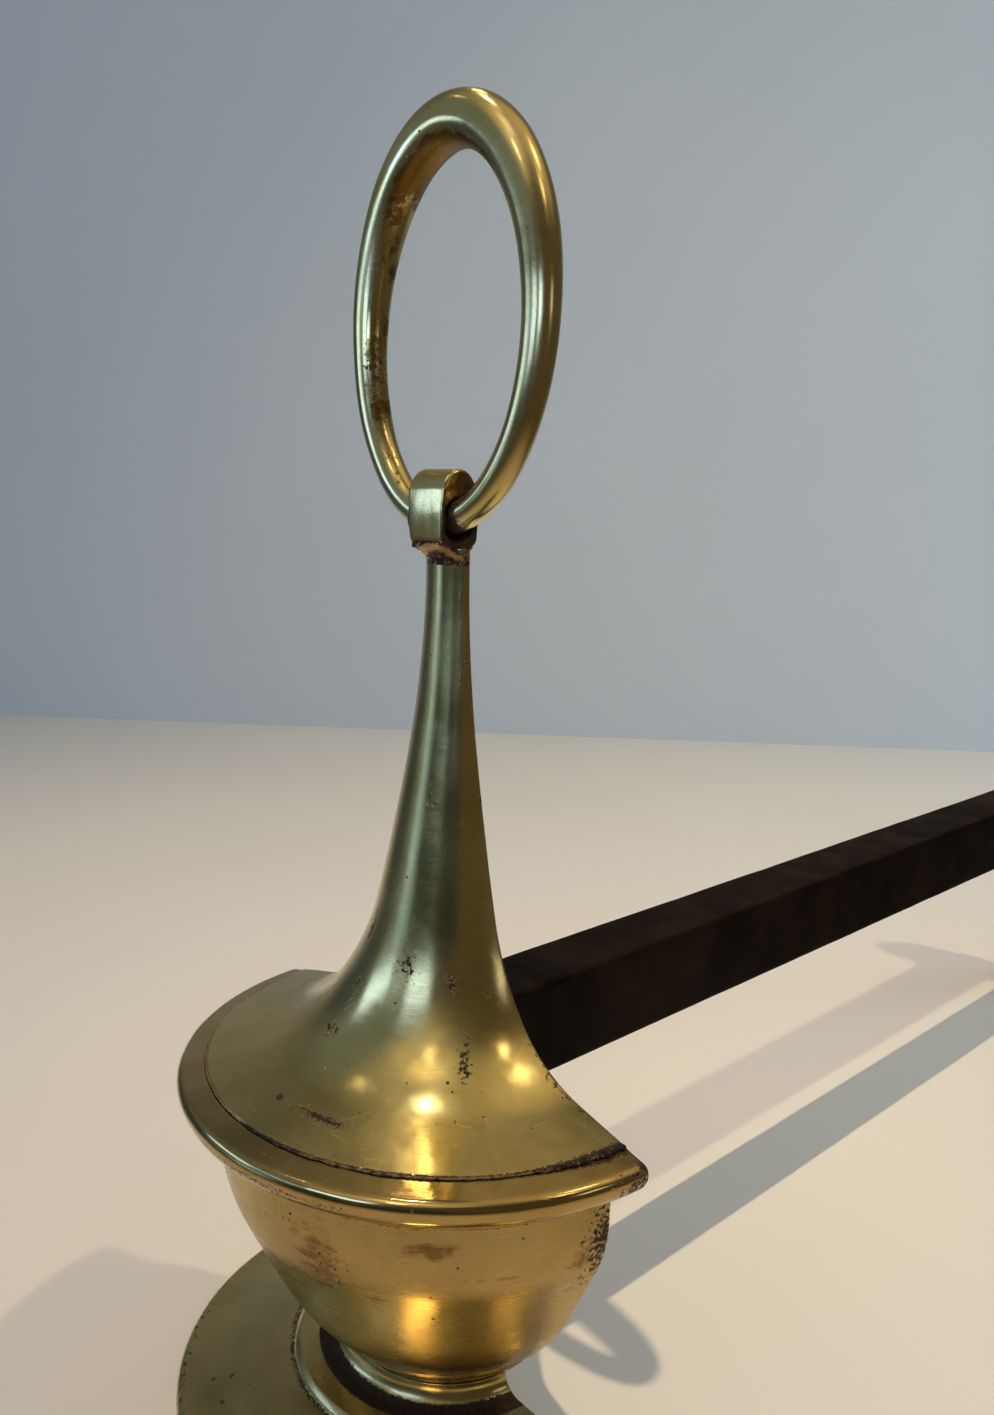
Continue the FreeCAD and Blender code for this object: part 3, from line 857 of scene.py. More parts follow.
@dataclass(frozen=True)
class BrassFinish:
    """Worn brass: brushed metal, thin brown tarnish, dark pits, and grime and painted shade where a
    mask says.
    """

    name: str
    light: Colour = (0.76, 0.645, 0.32)
    olive: Colour = (0.64, 0.54, 0.25)
    shine: Colour = (0.86, 0.74, 0.43)
    tarnish: Colour = (0.26, 0.155, 0.065)
    grime_and_shade: Colour = (0.020, 0.011, 0.007)
    dry_grime_and_shade: Colour = (0.075, 0.036, 0.016)
    roughness: float = 0.27
    brushing: float = 0.5
    anisotropy: float = 0.0
    tarnished: float = 0.25
    mask_reach: float = 0.17
    covering: float = 0.8
    scratches: float = 0.5
    pits: float = 0.006
    dents: float = 0.01
    grain: float = 0.006
    is_turned: bool = True

    SPECKLE = Grain(1300, 5, 0.7)
    CLOUDS = Grain(120, 8, 0.7)
    DRAWN_CLOUDS = Grain(1, 7, 0.7)
    TONE = Grain(45, 4, 0.6)
    GLOSS = Grain(60, 4)
    ORANGE_PEEL = Grain(500, 4, 0.6)
    SWIRL = Grain(1500, 4, 0.6)
    DENTS = Grain(420, 2)
    STREAK = Grain(1, 5, 0.65)
    HAIR = Grain(1, 3, 0.6)
    SCRATCH = Grain(1, 2)
    RAGGED = Grain(850, 4, 0.65)
    PITS_PER_METRE = 800
    SCRATCH_TURNS = ((12, 1900), (-19, 2400), (41, 2100))

    def material(self) -> Material:
        """Build the finish's material: brown over the metal, and dirt and painted shade over both.

        Returns:
            The material.
        """
        graph = Graph(self.name)
        place = graph.place()
        brown = self._brown(graph, place)
        metal, rough, normal = self._metal(graph, place)
        pit, normal = self._pits(graph, place, normal)
        speckle = graph.noise(place, self.SPECKLE)
        crust_and_shade = self._crust_and_shade(graph, speckle)
        # The dark share: pits, grime, and painted shade where a casting's mask darkens a crease or the
        # corner under an overhang.
        dirt_and_shade = crust_and_shade.or_more(pit)
        dirt_and_shade_tone = graph.blend(graph.between(speckle, 0.40, 0.66), self.grime_and_shade, self.dry_grime_and_shade)
        colour = graph.blend(brown, metal, self.tarnish)
        rough = rough + brown * 0.16 - graph.mask("polish") * 0.16 + dirt_and_shade * 0.3
        graph.shade("Base Color", graph.blend(dirt_and_shade, colour, dirt_and_shade_tone))
        graph.shade("Metallic", graph.between(dirt_and_shade, 0.0, 1.0, 1.0, 0.2))
        graph.shade("Roughness", rough)
        graph.shade("Normal", graph.bump(crust_and_shade * speckle, 0.22, normal))
        if self.anisotropy:
            tangent = graph.node("Tangent", direction_type="UV_MAP", uv_map=UV_NAME)
            graph.shade("Tangent", tangent.outputs[0])
            graph.shade("Anisotropic", self.anisotropy)
            graph.shade("Anisotropic Rotation", 0.25)
        return graph.material

    def _crust_and_shade(self, graph: Graph, speckle: Value) -> Value:
        """Where grime sticks and where shade is painted: its mask, broken up by a fine speckle.

        Args:
            graph: the material's graph.
            speckle: the fine speckle.

        Returns:
            How much of the metal the grime and the painted shade cover.
        """
        grime_and_shade = graph.mask("grime_and_shade")
        cover = grime_and_shade + (speckle - 0.5) * 1.9
        return graph.between(cover, 0.45, 0.58) * graph.between(grime_and_shade, 0.02, 0.12)

    def _brown(self, graph: Graph, place: Socket) -> Value:
        """How brown the metal is: cloudy patches, drawn out round the piece where it's turned.

        Args:
            graph: the material's graph.
            place: the point in the piece's coordinates.

        Returns:
            How brown it is, from 0 to 1.
        """
        cloud = graph.noise(place, self.CLOUDS)
        if self.is_turned:
            cloud = cloud * 0.45 + graph.noise(graph.turning((70, 420)), self.DRAWN_CLOUDS) * 0.55
        cloud = cloud + graph.mask("tarnish") * self.mask_reach
        limit = 0.70 - 0.2 * self.tarnished
        return graph.between(cloud, limit, limit + 0.12) * self.covering

    def _metal(self, graph: Graph, place: Socket) -> tuple:
        """The bare metal's colour, roughness and normal.

        Args:
            graph: the material's graph.
            place: the point in the piece's coordinates.

        Returns:
            The colour, the roughness and the normal, with brushing where the piece is turned.
        """
        tone = graph.between(graph.noise(place, self.TONE), 0.36, 0.64)
        metal = graph.blend(tone, self.light, self.olive)
        rough = graph.between(graph.noise(place, self.GLOSS), 0.3, 0.7, self.roughness - 0.04,
                              self.roughness + 0.05)
        normal = graph.bump(graph.noise(place, self.ORANGE_PEEL), 0.01)
        if self.is_turned:
            return self._brushed(graph, metal, rough, normal)
        swirl = graph.noise(place, self.SWIRL)
        dents = graph.bump(graph.noise(place, self.DENTS), self.dents, normal)
        rough = rough + graph.between(swirl, 0.4, 0.6) * 0.05
        return metal, rough, graph.bump(swirl, self.grain, dents)

    def _brushed(self, graph: Graph, metal: Socket, rough: Value,
                 normal: Socket) -> tuple:
        """The same three with streaks and hairlines round the piece, and scratches across.

        Args:
            graph: the material's graph.
            metal: the bare metal's colour.
            rough: its roughness.
            normal: its normal.

        Returns:
            The colour, the roughness and the normal.
        """
        streak = graph.noise(graph.turning((50, 1300)), self.STREAK)
        hair = graph.noise(graph.turning((150, 5200)), self.HAIR)
        share = graph.between(streak, 0.35, 0.65)
        metal = graph.blend(share * (0.4 * self.brushing), metal, self.olive)
        metal = graph.blend(graph.between(hair, 0.54, 0.68) * 0.5, metal, self.shine)
        normal = graph.bump(hair, 0.008, graph.bump(streak, 0.010 * self.brushing, normal))
        scratch = self._scratches(graph)
        normal = graph.bump(scratch * -1.0, 0.015 * self.scratches, normal)
        rough = rough + share * (0.07 * self.brushing) + scratch * (0.12 * self.scratches)
        return metal, rough, normal

    def _scratches(self, graph: Graph) -> Value:
        """Short scratches at a few angles: thin lines, each broken by a coarser noise.

        Args:
            graph: the material's graph.

        Returns:
            1 in a scratch, 0 beside it.
        """
        lines = []
        for turn, fineness in self.SCRATCH_TURNS:
            line = graph.noise(graph.turning((60, fineness), turn), self.SCRATCH)
            gaps = graph.noise(graph.turning((70, 70), turn), self.SCRATCH)
            lines.append(graph.between(line, 0.66, 0.74) * graph.between(gaps, 0.5, 0.64))
        return reduce(Value.or_more, lines)

    def _pits(self, graph: Graph, place: Socket, normal: Socket) -> tuple:
        """Small round pits strewn at random, and ragged ones packed where a mask says.

        Args:
            graph: the material's graph.
            place: the point in the piece's coordinates.
            normal: the normal that they are sunk in.

        Returns:
            Where the pits are, and the new normal.
        """
        distance, chance = graph.cells(place, self.PITS_PER_METRE)
        lone = graph.between(distance, 0.34, 0.16) * graph.step("LESS_THAN", chance, self.pits)
        pitting = graph.mask("pitting")
        packed = graph.noise(place, self.RAGGED) + pitting * 0.23
        packed = graph.between(packed, 0.64, 0.70) * graph.between(pitting, 0.02, 0.2)
        pit = lone.or_more(packed)
        return pit, graph.bump(pit * -1.0, 0.15, normal)


@dataclass(frozen=True)
class IronFinish:
    """Black iron: a dark scale with brown patches, fine grain and a satin sheen."""

    name: str
    scale: Colour = (0.0042, 0.0026, 0.0020)
    brown: Colour = (0.0150, 0.0066, 0.0030)
    rust: Colour = (0.034, 0.015, 0.007)
    roughness: float = 0.46
    rusting: float = 0.15
    grain: float = 0.03
    sheen: float = 0.05

    PATCHES = Grain(26, 6, 0.62)
    RUST = Grain(150, 8, 0.7)
    GLOSS = Grain(70, 5, 0.6)
    COARSE = Grain(160, 6, 0.62)
    FINE = Grain(1500, 4, 0.6)

    def material(self) -> Material:
        """Build the finish's material.

        Returns:
            The material.
        """
        graph = Graph(self.name)
        place = graph.place()
        patches = graph.between(graph.noise(place, self.PATCHES), 0.38, 0.68)
        limit = 0.74 - 0.2 * self.rusting
        rusty = graph.between(graph.noise(place, self.RUST), limit, limit + 0.12)
        rough = graph.between(graph.noise(place, self.GLOSS), 0.3, 0.7, self.roughness - 0.05,
                              self.roughness + 0.09)
        coarse = graph.bump(graph.noise(place, self.COARSE), self.grain * 2)
        colour = graph.blend(patches, self.scale, self.brown)
        graph.shade("Base Color", graph.blend(rusty * 0.8, colour, self.rust))
        graph.shade("Specular IOR Level", self.sheen)
        graph.shade("Roughness", rough + rusty * 0.15)
        graph.shade("Normal", graph.bump(graph.noise(place, self.FINE), self.grain * 0.5, coarse))
        return graph.material


@dataclass(frozen=True)
class CrustFinish:
    """A dull crust over metal, such as packed grime or the skin of a brazed joint."""

    name: str
    dark: Colour
    light: Colour
    roughness: float = 0.75
    metallic: float = 0.0

    CRUMBS = Grain(700, 6, 0.7)
    SURFACE = Grain(1600, 5, 0.7)

    def material(self) -> Material:
        """Build the finish's material: light where the crumbs and the wear mask say.

        Returns:
            The material.
        """
        graph = Graph(self.name)
        place = graph.place()
        share = graph.noise(place, self.CRUMBS) + graph.mask("wear") * 0.3
        graph.shade("Base Color", graph.blend(graph.between(share, 0.52, 0.68), self.dark, self.light))
        graph.shade("Metallic", self.metallic)
        graph.shade("Roughness", self.roughness)
        graph.shade("Normal", graph.bump(graph.noise(place, self.SURFACE), 0.2))
        return graph.material


BELL_BRASS = BrassFinish("bell_brass", roughness=0.18, anisotropy=0.42, brushing=0.6, tarnished=0.15,
                         scratches=0.8)
BOWL_BRASS = BrassFinish("bowl_brass", light=(0.61, 0.475, 0.235), olive=(0.51, 0.39, 0.18),
                         shine=(0.70, 0.56, 0.30), roughness=0.25, brushing=0.55, anisotropy=0.1,
                         tarnished=0.5)
FOOT_BRASS = BrassFinish("foot_brass", light=(0.62, 0.53, 0.27), olive=(0.52, 0.45, 0.23),
                         roughness=0.2, tarnished=0.2)
RING_BRASS = BrassFinish("ring_brass", light=(0.74, 0.64, 0.36), tarnish=(0.19, 0.11, 0.022),
                         roughness=0.17, tarnished=0.05, mask_reach=0.34, covering=0.95,
                         pits=0.004, dents=0.003, grain=0.0015, is_turned=False)
EYE_BRASS = BrassFinish("eye_brass", tarnish=(0.24, 0.14, 0.035), roughness=0.2, tarnished=0.1,
                        mask_reach=0.3, covering=0.95, dents=0.03, is_turned=False)
RAW_BRASS = BrassFinish("raw_cast_brass", light=(0.30, 0.22, 0.10), olive=(0.20, 0.14, 0.07),
                        roughness=0.55, brushing=0.0, tarnished=0.8, scratches=0.1, pits=0.05)
BAR_IRON = IronFinish("bar_iron")
STRAP_IRON = IronFinish("strap_iron", rusting=0.5, roughness=0.52)
STEEL = IronFinish("dull_steel", scale=(0.040, 0.036, 0.033), brown=(0.07, 0.052, 0.04),
                   rust=(0.11, 0.055, 0.028), rusting=0.5, roughness=0.42, grain=0.03, sheen=0.5)
GRIME = CrustFinish("packed_grime", dark=(0.010, 0.006, 0.0045), light=(0.20, 0.125, 0.05))
BRAZE = CrustFinish("brazed_joint", dark=(0.055, 0.020, 0.014), light=(0.58, 0.37, 0.17),
                    roughness=0.42, metallic=0.7)


# ---- Pieces


@dataclass(frozen=True)
class Places:
    """Places that the frame gives: the stack axis, the castings' bases, the hinge and the bar."""

    axis_y: float
    foot_base: float
    collar_base: float
    bowl_base: float
    bell_base: float
    bell_top: float
    hinge: Vector
    bar_middle: float
    leg_middle: float
    back_plane: float = 5.0 * MM

    @classmethod
    def from_frame(cls, frame: dict) -> "Places":
        """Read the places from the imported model.

        Args:
            frame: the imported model, as loaded.

        Returns:
            The places.
        """
        bar_low, bar_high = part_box("bar_nut")
        leg_low, leg_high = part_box("rear_leg")
        return cls(
            axis_y=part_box("back_strap")[0].y + cls.back_plane,
            foot_base=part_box("foot")[0].z,
            collar_base=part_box("neck_collar")[0].z,
            bowl_base=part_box("bowl")[0].z,
            bell_base=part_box("stem_bell")[0].z,
            bell_top=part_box("stem_bell")[1].z,
            hinge=Vector(frame["joints"][0]["pos_m"]),
            bar_middle=(bar_low.z + bar_high.z) / 2,
            leg_middle=(leg_low.y + leg_high.y) / 2,
        )


def dress(piece: Piece, body: Body, slot: Slot, materials: Sequence[Material],
          nodes: Sequence[str] = ()) -> Piece:
    """Give a piece its materials and its body, and hide the CAD nodes that it stands for.

    Args:
        piece: the piece.
        body: the body that it rides on.
        slot: the record's slot that its finish belongs to; not used.
        materials: its materials, the second one for raw faces.
        nodes: the CAD nodes that it stands for.

    Returns:
        The piece.
    """
    for material in materials:
        piece.data.materials.append(material)
    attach(piece, body.value)
    if nodes:
        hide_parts(*nodes)
    LOG.info("%s: %d faces on %s", piece.name, len(piece.data.polygons), body.value)
    return piece


@dataclass(frozen=True)
class Mark:
    """A stain, pit or patch of scratches: its middle, its reach and how dense it is."""

    angle: float
    at: float
    wide: float
    tall: float
    strength: float = 1.0
    slant: float = 0.0


@dataclass
class Casting:
    """A half-round casting: a section turned about the stack axis and cut off flat behind it.

    A grid point is (r sin a, axis - r cos a, z). Each row's angle a runs to the back plane on
    both sides, and its last columns turn inwards on a quarter circle, which softens the arris.
    """

    places: Places
    base: float
    name: str
    node: str
    finish: BrassFinish
    columns: int = 200
    arris: float = 0.55
    unevenness: float = 0.07
    seed: int = 1
    along: Along = Along.HEIGHT
    outside: tuple[float, float] = (0.0, 1.0)
    pits: tuple[Mark, ...] = ()
    stains: tuple[Mark, ...] = ()
    browning: tuple[Mark, ...] = ()

    UV_RADIUS = 60
    FINE_SHARE = 0.18
    RAW_DEPTH = 0.12

    def section(self) -> Array:
        """The section, from its start near the axis to its end near the axis."""
        raise NotImplementedError

    def is_outside(self, section: Array) -> Array:
        """Which of the section's points lie on the worked outer surface."""
        raise NotImplementedError

    def extra_grime_and_shade(self, angle: Array, radius: Array, height: Array) -> Array:
        """Grime and painted shade that follow the casting's own form."""
        return np.zeros(angle.shape)

    def polish(self, radius: Array, height: Array) -> Array:
        """Where the casting is smoother than the rest of it."""
        return np.zeros(radius.shape)

    def build(self, raw: Material) -> Piece:
        """Make the casting.

        Args:
            raw: the material of its unworked inside and back.

        Returns:
            The dressed piece.
        """
        section = self.section()
        length = np.concatenate([[0.0], np.cumsum(np.hypot(*np.diff(section, axis=0).T))])[:, None]
        angle, inset = self._columns(section[:, :1])
        rows, columns = angle.shape
        outer = self.is_outside(section)
        side = np.arange(rows) * columns
        ends = [face[::-1] for face in end_faces(rows, columns)]
        cut = np.concatenate([side + columns - 1, side[::-1]])
        skin = Skin(
            self._surface(section, angle, inset).reshape(-1, 3),
            grid_quads(rows, columns, False, False),
            [*ends, cut],
            np.stack([angle * self.UV_RADIUS * MM, length + 0 * angle], axis=-1).reshape(-1, 2),
            self._masks(section, length, angle, outer[:, None]),
            np.concatenate([np.repeat(~outer[:-1], columns - 1), [False, True, True]]),
        )
        materials = [self.finish.material(), raw]
        return dress(skin.piece(self.name), Body.STAND, Slot.BRASS, materials, [self.node])

    def _surface(self, section: Array, angle: Array, inset: Array) -> Array:
        """The grid's points, moved by the surface's unevenness and by the soft arris.

        Args:
            section: the section's points.
            angle: the angle of each grid point.
            inset: how far each column is set in, in millimetres.

        Returns:
            The points, as (rows, columns, 3).
        """
        radius, height = section[:, :1], section[:, 1:]
        step = np.gradient(section, axis=0)
        step /= np.linalg.norm(step, axis=1, keepdims=True)
        flat = np.stack([radius * np.sin(angle), -radius * np.cos(angle), height + 0 * angle], -1)
        is_raw = ~self.is_outside(section)[:, None]
        relief = Waves(self.seed, 26).at(flat) * self.unevenness
        relief += Waves(self.seed + 50, 7).at(flat) * self.unevenness * self.FINE_SHARE
        relief += is_raw * Waves(self.seed + 90, 5).at(flat) * self.RAW_DEPTH
        near_axis = np.clip((radius / MM - 8) / 12, 0.25, 1)
        offset = relief * MM * near_axis - inset * MM
        moved_radius = np.minimum(radius - step[:, 1:] * offset, radius.max())
        moved_height = np.maximum(height + step[:, :1] * offset, height.min())
        back = self.places.axis_y - self.places.back_plane
        y = np.minimum(self.places.axis_y - moved_radius * np.cos(angle), back)
        y[:, [0, -1]] = back
        return np.stack([moved_radius * np.sin(angle), y, moved_height + self.base], axis=-1)

    def _columns(self, radius: Array) -> tuple[Array, Array]:
        """The angle of each row's columns, and how far each column is set in, in millimetres.

        Args:
            radius: the radius of each row.

        Returns:
            The angles, as (rows, columns), and the insets, as (1, columns).
        """
        limit = np.arccos(self.places.back_plane / radius)
        turn = np.linspace(0, QUARTER_TURN, 6)[1:]
        arris = self.arris * MM / radius
        side = limit - arris * (1 - np.sin(turn))
        middle = np.linspace(-1, 1, self.columns) * (limit - arris)
        angle = np.hstack([-side[:, ::-1], middle, side])
        set_in = self.arris * (1 - np.cos(turn))
        inset = np.concatenate([set_in[::-1], np.zeros(self.columns), set_in])
        return angle, inset[None]

    def _spread(self, marks: Sequence[Mark], section: Array, length: Array,
                angle: Array) -> Array:
        """The densest of some marks at each grid point, falling off as a bell curve.

        Args:
            marks: the marks.
            section: the section's points.
            length: the length along the section at each row.
            angle: the angle of each grid point.

        Returns:
            The density at each grid point.
        """
        density = np.zeros(angle.shape)
        outer = np.flatnonzero(self.is_outside(section))
        where = section[outer, self.along.value] / MM
        order = np.argsort(where)
        for mark in marks:
            middle = np.interp(mark.at, where[order], length[outer[order], 0])
            across = (angle - math.radians(mark.angle)) * section[:, :1] / MM
            up = (length - middle) / MM
            slant = math.radians(mark.slant)
            first = across * math.cos(slant) + up * math.sin(slant)
            second = up * math.cos(slant) - across * math.sin(slant)
            bell = np.exp(-((first / mark.wide) ** 2 + (second / mark.tall) ** 2))
            density = np.maximum(density, bell * mark.strength)
        return density

    def _masks(self, section: Array, length: Array, angle: Array,
               outer: Array) -> dict[str, Array]:
        """The masks that the finish reads.

        Args:
            section: the section's points.
            length: the length along the section at each row.
            angle: the angle of each grid point.
            outer: whether each row is on the outer surface.

        Returns:
            The masks by name.
        """
        grime_and_shade = self._spread(self.stains, section, length, angle)
        grime_and_shade = np.maximum(grime_and_shade, self.extra_grime_and_shade(angle, section[:, :1], section[:, 1:]))
        return {
            "grime_and_shade": grime_and_shade * outer,
            "pitting": self._spread(self.pits, section, length, angle) * outer,
            "tarnish": self._spread(self.browning, section, length, angle) * outer,
            "polish": self.polish(section[:, :1], section[:, 1:]) * outer + 0 * angle,
        }


def step_up(value: Array, low: float, high: float) -> Array:
    """A smooth step from 0 at low to 1 at high, falling where high is under low."""
    share = np.clip((value - low) / (high - low), 0, 1)
    return share * share * (3 - 2 * share)


@dataclass
class Bell(Casting):
    """The stem and its flare, down to the thin edge that sits in the bowl's rim."""

    along: Along = Along.RADIUS
    edge_radius: float = 71.7

    def section(self) -> Array:
        """Stem, flare, edge, and the core below.

        Returns:
            The section's points, in metres.
        """
        trace = Trace(5.2, 149.3).line(10.1, 149.3).line(10.1, 145.0).arc(14.2, 94.0)
        trace = trace.arc(23.1, 48.0).arc(36.0, 20.9).arc(56.0, 7.7).arc(self.edge_radius, 3.5)
        trace = trace.line(self.edge_radius, 0).seen_to_here().line(67.7, 0).line(52.0, 3.7)
        trace = trace.line(32.0, 16.9)
        return trace.line(26.0, 24.0).line(5.2, 24.0).section(0.22)

    def is_outside(self, section: Array) -> Array:
        """All before the lowest point of the edge."""
        return np.arange(len(section)) <= int(np.argmax(section[:, 0] - section[:, 1]))

    def extra_grime_and_shade(self, angle: Array, radius: Array, height: Array) -> Array:
        """Black along the edge, wider towards the right-hand end, and brown at the stem's top.

        Args:
            angle: the angle of each grid point.
            radius: the radius of each row.
            height: the height of each row.

        Returns:
            How much grime there is, from 0 to 1.
        """
        degrees = np.degrees(angle)
        reach = 0.5 + 0.6 * step_up(degrees, 5, 40) + 2.2 * step_up(degrees, 60, 84)
        near = step_up(radius / MM, self.edge_radius - reach, self.edge_radius - 0.1)
        share = 0.20 + 0.45 * step_up(degrees, -2, 3) + 0.2 * step_up(degrees, 55, 80)
        top = step_up(height / MM, 143.0, 148.0) * 0.40
        return np.maximum(near * share, top)


@dataclass
class Bowl(Casting):
    """The bowl with its rolled rim and the rebate for the bell."""

    seat_radius: float = 72.2

    def section(self) -> Array:
        """Floor, inner wall, rebate, rim, outer wall and base.

        Returns:
            The section's points, in metres.
        """
        trace = Trace(5.2, 4.0).line(35.2, 4.0).line(50.6, 24.6).line(60.8, 46.3).line(67.4, 62.3)
        trace = trace.line(67.4, 77.8).line(self.seat_radius, 77.8).seen_from_here()
        trace = trace.line(self.seat_radius, 80.8)
        trace = trace.line(78.0, 79.3).arc(80.0, 76.2).arc(77.6, 72.0).line(68.2, 65.0)
        trace = trace.line(68.2, 58.3).arc(64.8, 42.3).arc(54.6, 20.6).arc(39.2, 0.0)
        return trace.line(5.2, 0.0).section(0.25)

    def is_outside(self, section: Array) -> Array:
        """All after the lip's inner edge."""
        return np.arange(len(section)) >= int(np.argmax(section[:, 1]))

    def extra_grime_and_shade(self, angle: Array, radius: Array, height: Array) -> Array:
        """Black grime at the seam and at the rim's right-hand end, and painted shade in the corner
        under the rim.

        Args:
            angle: the angle of each grid point.
            radius: the radius of each row.
            height: the height of each row.

        Returns:
            How much grime and painted shade there is, from 0 to 1.
        """
        degrees, r, z = np.degrees(angle), radius / MM, height / MM
        reach = 0.5 + 0.5 * step_up(degrees, 5, 40) + 2.6 * step_up(degrees, 62, 84)
        seam = step_up(r, self.seat_radius + reach, self.seat_radius + 0.1) * (z > 78.4)
        seam = seam * (0.24 + 0.46 * step_up(degrees, -2, 3) + 0.24 * step_up(degrees, 55, 80))
        # painted shade: a dark band in the corner under the rim's overhang
        under = step_up(z, 66.6, 65.4) * step_up(z, 63.9, 65.0) * 0.40
        nicks = np.exp(-((z - 75.4) / 1.3) ** 2) * step_up(degrees, -24, -8) * step_up(degrees, 48, 30)
        nicks = nicks * (r > 74) * 0.36
        return np.maximum(np.maximum(seam, under), nicks)

    def polish(self, radius: Array, height: Array) -> Array:
        """The rim, which is smoother than the wall."""
        return step_up(height / MM, 69.5, 72.0) * (radius / MM > 60)


@dataclass
class Collar(Casting):
    """The neck collar: a quirk, a swelling cone and the bead at the bowl."""

    def section(self) -> Array:
        """Base, quirk, cone, bead and top, traced upwards and read downwards.

        Returns:
            The section's points, in metres.
        """
        trace = Trace(5.2, 0.0).line(31.5, 0.0).line(31.5, 0.45).line(32.7, 0.9)
        trace = trace.bend(37.2, 6.6, 15.0).line(38.6, 7.2).line(38.6, 8.7).line(5.2, 8.7)
        return trace.section(0.2, 1.0)[::-1]

    def is_outside(self, section: Array) -> Array:
        """All of it."""
        return np.ones(len(section), bool)

    def extra_grime_and_shade(self, angle: Array, radius: Array, height: Array) -> Array:
        """Painted shade in the quirk and under the bead.

        Args:
            angle: the angle of each grid point.
            radius: the radius of each row.
            height: the height of each row.

        Returns:
            How much painted shade there is, from 0 to 1.
        """
        z = height / MM
        # painted shade in the narrow quirk at the collar's base
        quirk = step_up(z, 2.2, 0.7) * 0.9
        # painted shade under the bead, below the bowl's bottom
        bead = step_up(z, 6.2, 7.0) * step_up(z, 8.0, 7.2) * 0.45
        return np.maximum(quirk, bead) + 0 * angle


@dataclass
class Foot(Casting):
    """The dish foot with its raised step and cove."""

    along: Along = Along.RADIUS

    def section(self) -> Array:
        """Boss, core, sole, edge, dish, step and cove, traced upwards and read downwards.

        Returns:
            The section's points, in metres.
        """
        trace = Trace(5.2, 0.0).line(22.0, 0.0).line(22.0, 10.1).line(37.6, 10.1).line(47.8, 8.0)
        trace = trace.line(66.0, 4.0).line(73.0, 2.6).line(73.0, 0.0).line(81.5, 0.0)
        trace = trace.seen_from_here()
        trace = trace.line(82.5, 1.0).line(82.5, 3.6).arc(80.5, 5.6).arc(66.0, 8.0)
        trace = trace.arc(47.8, 12.0).line(47.2, 12.9).line(45.8, 14.1).line(37.6, 14.1)
        return trace.arc(32.2, 19.8).line(5.2, 19.8).section(0.22)[::-1]

    def is_outside(self, section: Array) -> Array:
        """All before the lowest point of the edge."""
        return np.arange(len(section)) <= int(np.argmax(section[:, 0] - section[:, 1]))

    def extra_grime_and_shade(self, angle: Array, radius: Array, height: Array) -> Array:
        """A black band round the cove's foot, and brown outside the step.

        Args:
            angle: the angle of each grid point.
            radius: the radius of each row.
            height: the height of each row.

        Returns:
            How dark it is, from 0 to 1.
        """
        degrees, r = np.degrees(angle), radius / MM
        band = step_up(r, 33.4, 35.4) * step_up(r, 41.0, 38.8)
        band = band * step_up(degrees, -62, -40) * 1.1
        riser = step_up(r, 47.0, 47.9) * step_up(r, 50.2, 48.4) * 0.55
        return np.maximum(band, riser)


@dataclass
class RingHandle:
    """The oval ring: an ellipse of round section that swells towards the crown.

    The centre line is (a cos t, 0, b + b sin t) from the hinge, and the section's radius grows
    from the foot to the crown with the square of the height. The ring leans to the back.
    """

    places: Places
    half_width: float = 34.6
    half_height: float = 50.8
    foot_radius: float = 4.3
    crown_radius: float = 7.15
    lean: float = 1.1
    along: int = 420
    around: int = 72

    def build(self) -> Piece:
        """Make the ring.

        Returns:
            The dressed piece.
        """
        turn = np.linspace(0, FULL_TURN, self.along, endpoint=False)
        height = (1 + np.sin(turn)) / 2
        none = np.zeros(self.along)
        path = np.column_stack([self.half_width * np.cos(turn), none, 2 * self.half_height * height])
        way = np.column_stack([-self.half_width * np.sin(turn), none, self.half_height * np.cos(turn)])
        way /= np.linalg.norm(way, axis=1, keepdims=True)
        level = np.tile([0.0, 1.0, 0.0], (self.along, 1))
        across = np.stack([np.cross(level, way), level], axis=1)
        swell = self.crown_radius - self.foot_radius
        radius = (self.foot_radius + swell * height**2)[:, None] * np.ones((1, self.around))
        sketch = tube(path * MM, across, radius * MM, self.around)
        points = sketch.vertices.reshape(self.along, self.around, 3)
        radius += 0.06 * Waves(7, 22).at(points) + 0.012 * Waves(8, 7).at(points)
        skin = tube(path * MM, across, (radius - 0.05) * MM, self.around)
        lean = math.radians(self.lean)
        x, y, z = skin.vertices.T
        turned_y = y * math.cos(lean) + z * math.sin(lean)
        turned_z = z * math.cos(lean) - y * math.sin(lean)
        skin.vertices = np.column_stack([x, turned_y, turned_z]) + np.array(self.places.hinge)
        skin.masks = self._masks(height, skin)
        return dress(skin.piece("ring_oval"), Body.RING, Slot.BRASS, [RING_BRASS.material()],
                     ["finial_ring"])

    def _masks(self, height: Array, skin: Skin) -> dict[str, Array]:
        """Grime where the ring lies in the eye, brown inner faces, pits inside the left limb.

        Args:
            height: the share of the full height at each point of the path.
            skin: the ring's skin.

        Returns:
            The masks by name.
        """
        around = np.linspace(0, FULL_TURN, self.around, endpoint=False)[None]
        low = step_up(height, 0.030, 0.008)[:, None] + 0 * around
        left = (skin.vertices[:, 0] < 0).reshape(self.along, self.around)
        inner = step_up(np.cos(around), -0.2, -0.8) + 0 * height[:, None]
        stretch = (step_up(height, 0.2, 0.3) * step_up(height, 0.5, 0.42))[:, None]
        share = 0.62 + 0.38 * step_up(height, 0.75, 0.93)[:, None]
        return {"grime_and_shade": low * 0.8, "pitting": stretch * inner * left * 0.42,
                "tarnish": inner * np.where(left | (height[:, None] > 0.8), share, 0.4)}


